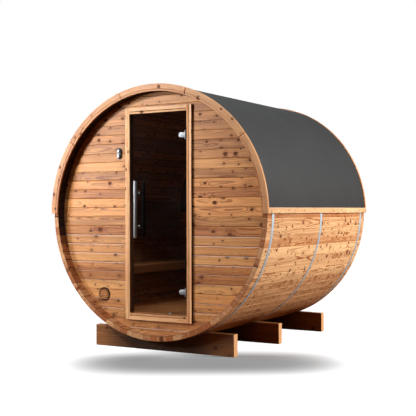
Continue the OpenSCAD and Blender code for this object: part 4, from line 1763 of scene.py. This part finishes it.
@dataclass
class Backrest:
    """The slatted backrest over the bench."""

    barrel: Barrel
    slats: int = 3
    gap: float = 0.016
    thickness: float = 0.022
    post: float = 0.050
    post_inset: float = 0.100
    arris: float = 0.004
    post_arris: float = 0.002

    def build(self, shop: Workshop) -> None:
        """Builds the slats and the posts behind them."""
        box = Box.of("backrest")
        front = box.high.x
        back = front - self.thickness
        height = (box.size.z - (self.slats - 1) * self.gap) / self.slats
        boards = Boards()
        for i in range(self.slats):
            level = box.low.z + i * (height + self.gap)
            slat = Solid.block(Vector((back, box.low.y, level)), Vector((front, box.high.y, level + height)))
            boards.add(slat.soften(self.arris),
                       StraightGrain(Vector((front, 0.0, level + height / 2)), Y, Z))
        for y in (box.low.y + self.post_inset, 0.0, box.high.y - self.post_inset):
            post = against_shell(self.barrel, back, (box.low.z, box.high.z), y, self.post)
            boards.add(post.soften(self.post_arris, 1), StraightGrain(Vector((back, y, box.middle.z)), Z, Y))
        shop.fit("backrest_slats", boards, Slot.BENCH, ["backrest"])


# ---------------------------------------------------------------- studio


@dataclass(frozen=True)
class Lamp:
    """A soft square lamp that looks at the object."""

    name: str
    place: Vector
    aim: Vector
    size: float
    watts: float
    colour: Colour = WHITE
    spread: float = 180.0

    def build(self) -> None:
        """Hangs the lamp."""
        light = bpy.data.lights.new(self.name, "AREA")
        light.shape = "SQUARE"
        light.size = self.size
        light.energy = self.watts
        light.color = self.colour
        light.spread = math.radians(self.spread)
        lamp = in_scene(self.name, light)
        lamp.location = self.place
        lamp.rotation_mode = "QUATERNION"
        lamp.rotation_quaternion = (self.aim - self.place).to_track_quat("-Z", "Y")


WARM = (1.0, 0.99, 0.97)
MIDDLE = Vector((0.0, 0.0, 1.1))
LAMPS = (
    Lamp("key", Vector((-1.7, -3.2, 2.75)), Vector((-0.6, -0.9, 1.4)), 0.28, 68.0, WARM),
    Lamp("sheen", Vector((-3.4, -4.0, 1.7)), Vector((-0.7, -0.9, 1.4)), 0.9, 27.0, (0.93, 0.97, 1.0), 90.0),
    Lamp("side", Vector((5.5, 1.4, 3.2)), Vector((1.0, 0.0, 1.1)), 1.6, 440.0, WARM),
    Lamp("front_top", Vector((0.4, -2.6, 5.8)), MIDDLE, 1.6, 110.0, (0.80, 0.90, 1.0)),
    Lamp("rear", Vector((-2.4, 5.6, 2.4)), Vector((-0.3, 1.0, 1.0)), 1.6, 170.0),
    Lamp("rear_top", Vector((0.4, 2.2, 6.2)), MIDDLE, 2.4, 45.0),
    Lamp("room", Vector((-0.1, -0.5, 1.85)), Vector((-0.1, -0.4, 0.2)), 0.3, 6.0, (1.0, 0.85, 0.7), 80.0),
)


@dataclass(frozen=True)
class Studio:
    """A plain pale studio: floor, soft lamps, even surroundings and the camera."""

    eye: Vector = Vector((4.0324, -6.9365, 1.1395))
    turn: float = math.radians(30.66)
    pitch: float = math.radians(0.16)
    roll: float = math.radians(-0.1335)
    lens: float = 77.36
    sensor: float = 36.0
    far: float = 200.0
    surround: float = 0.052
    mirrored: float = 0.1
    surround_colour: Colour = (1.0, 0.52, 0.30)
    floor_size: float = 60.0
    # the grey of the floor where it doesn't glow: partly painted shadow, in an ellipse in front of the
    # object
    shadow_patch_grey: Colour = (0.27, 0.276, 0.282)
    bounce_colour: Colour = (0.15, 0.055, 0.018)
    lift_reach: tuple[float, float] = (0.06, 1.15)
    shade_middle: Vector = Vector((0.62, -1.19, 0.0))
    shade_reach: tuple[float, float] = (1.25, 0.77)

    def camera(self) -> None:
        """Sets up the camera."""
        camera = bpy.data.cameras.new("camera")
        camera.lens = self.lens
        camera.sensor_width = self.sensor
        camera.clip_end = self.far
        holder = in_scene("camera", camera)
        holder.location = self.eye
        holder.rotation_mode = "QUATERNION"
        level = Quaternion(Z, self.turn) @ Quaternion(X, math.pi / 2 + self.pitch)
        holder.rotation_quaternion = level @ Quaternion(Z, self.roll)
        bpy.context.scene.camera = holder

    def seen(self, g: Graph) -> Socket:
        """Returns one for rays that come from the camera or through glass."""
        path = g.add("ShaderNodeLightPath").outputs
        return g.math("MAXIMUM", path["Is Camera Ray"], path["Is Transmission Ray"])

    def world(self) -> None:
        """Makes the surroundings: white where they are seen, softer as light."""
        world = bpy.data.worlds.new("surroundings")
        world.use_nodes = True
        bpy.context.scene.world = world
        g = Graph(world.node_tree)
        seen = self.seen(g)
        glossy = g.add("ShaderNodeLightPath").outputs["Is Glossy Ray"]
        strength = g.total(self.surround, (seen, 1.0 - self.surround), (glossy, self.mirrored))
        colour = g.mix(g.math("MAXIMUM", seen, glossy), self.surround_colour, WHITE)
        back = g.add("ShaderNodeBackground", {"Color": colour, "Strength": strength})
        g.add("ShaderNodeOutputWorld", {"Surface": back.outputs[0]})

    def floor(self) -> None:
        """Lays the pale floor: it glows white away from the object; in an ellipse in front of it the glow
        fades and a grey floor shows, partly the real shadow and partly painted shadow.
        """
        bm = bmesh.new()
        bmesh.ops.create_grid(bm, x_segments=1, y_segments=1, size=self.floor_size / 2)
        mesh = as_mesh("studio_floor", bm)
        material, g = new_material("studio_floor")
        here = g.add("ShaderNodeTexCoord").outputs["Object"]
        place = g.add("ShaderNodeMapping", {"Vector": here, "Location": self.shade_middle,
                                            "Rotation": (0.0, 0.0, self.turn),
                                            "Scale": (*self.shade_reach, 1.0)}, vector_type="TEXTURE")
        x, y, _ = g.split(place.outputs[0])
        along = g.times(x, x)
        away = g.math("SQRT", g.total((along, along), (y, y)))
        rise = g.ramp(away, *self.lift_reach)
        smooth = g.times(rise, rise, g.total(3.0, (rise, -2.0)))
        lift = g.times(self.seen(g), smooth)
        pale = g.add("ShaderNodeBsdfDiffuse", {"Color": self.shadow_patch_grey})
        glow = g.add("ShaderNodeEmission", {"Color": WHITE, "Strength": lift})
        shown = g.add("ShaderNodeAddShader", {0: pale.outputs[0], 1: glow.outputs[0]})
        dim = g.add("ShaderNodeBsdfDiffuse", {"Color": self.bounce_colour})
        surface = g.add("ShaderNodeMixShader", {0: self.seen(g), 1: dim.outputs[0], 2: shown.outputs[0]})
        g.add("ShaderNodeOutputMaterial", {"Surface": surface.outputs[0]})
        mesh.materials.append(material)
        floor = in_scene("studio_floor", mesh)

    def build(self) -> None:
        """Sets up the whole studio."""
        self.camera()
        self.world()
        self.floor()
        for lamp in LAMPS:
            lamp.build()
        bpy.context.scene.view_settings.view_transform = "Standard"


def main() -> None:
    """Builds the studio, then every sub-assembly in order, and logs how many boards there are."""
    logging.basicConfig(level=logging.INFO, format="%(message)s")
    Studio().build()
    barrel = Barrel.measured()
    shop = Workshop(finishes())
    assemblies = (StaveShell(barrel), Hoops(barrel), Roof(barrel), ArchTrims(barrel), Cradles(barrel),
                  EndWalls(barrel), HalfMoonWindow(barrel), FloorDeck(barrel), DoorFrame(), GlassDoor(),
                  DoorHinge("upper"), DoorHinge("lower"), Vent(), Switch(), Bench(barrel), Backrest(barrel))
    for assembly in assemblies:
        assembly.build(shop)
    LOG.info("%d boards in all", Boards.numbered)


if __name__ == "__main__":
    main()
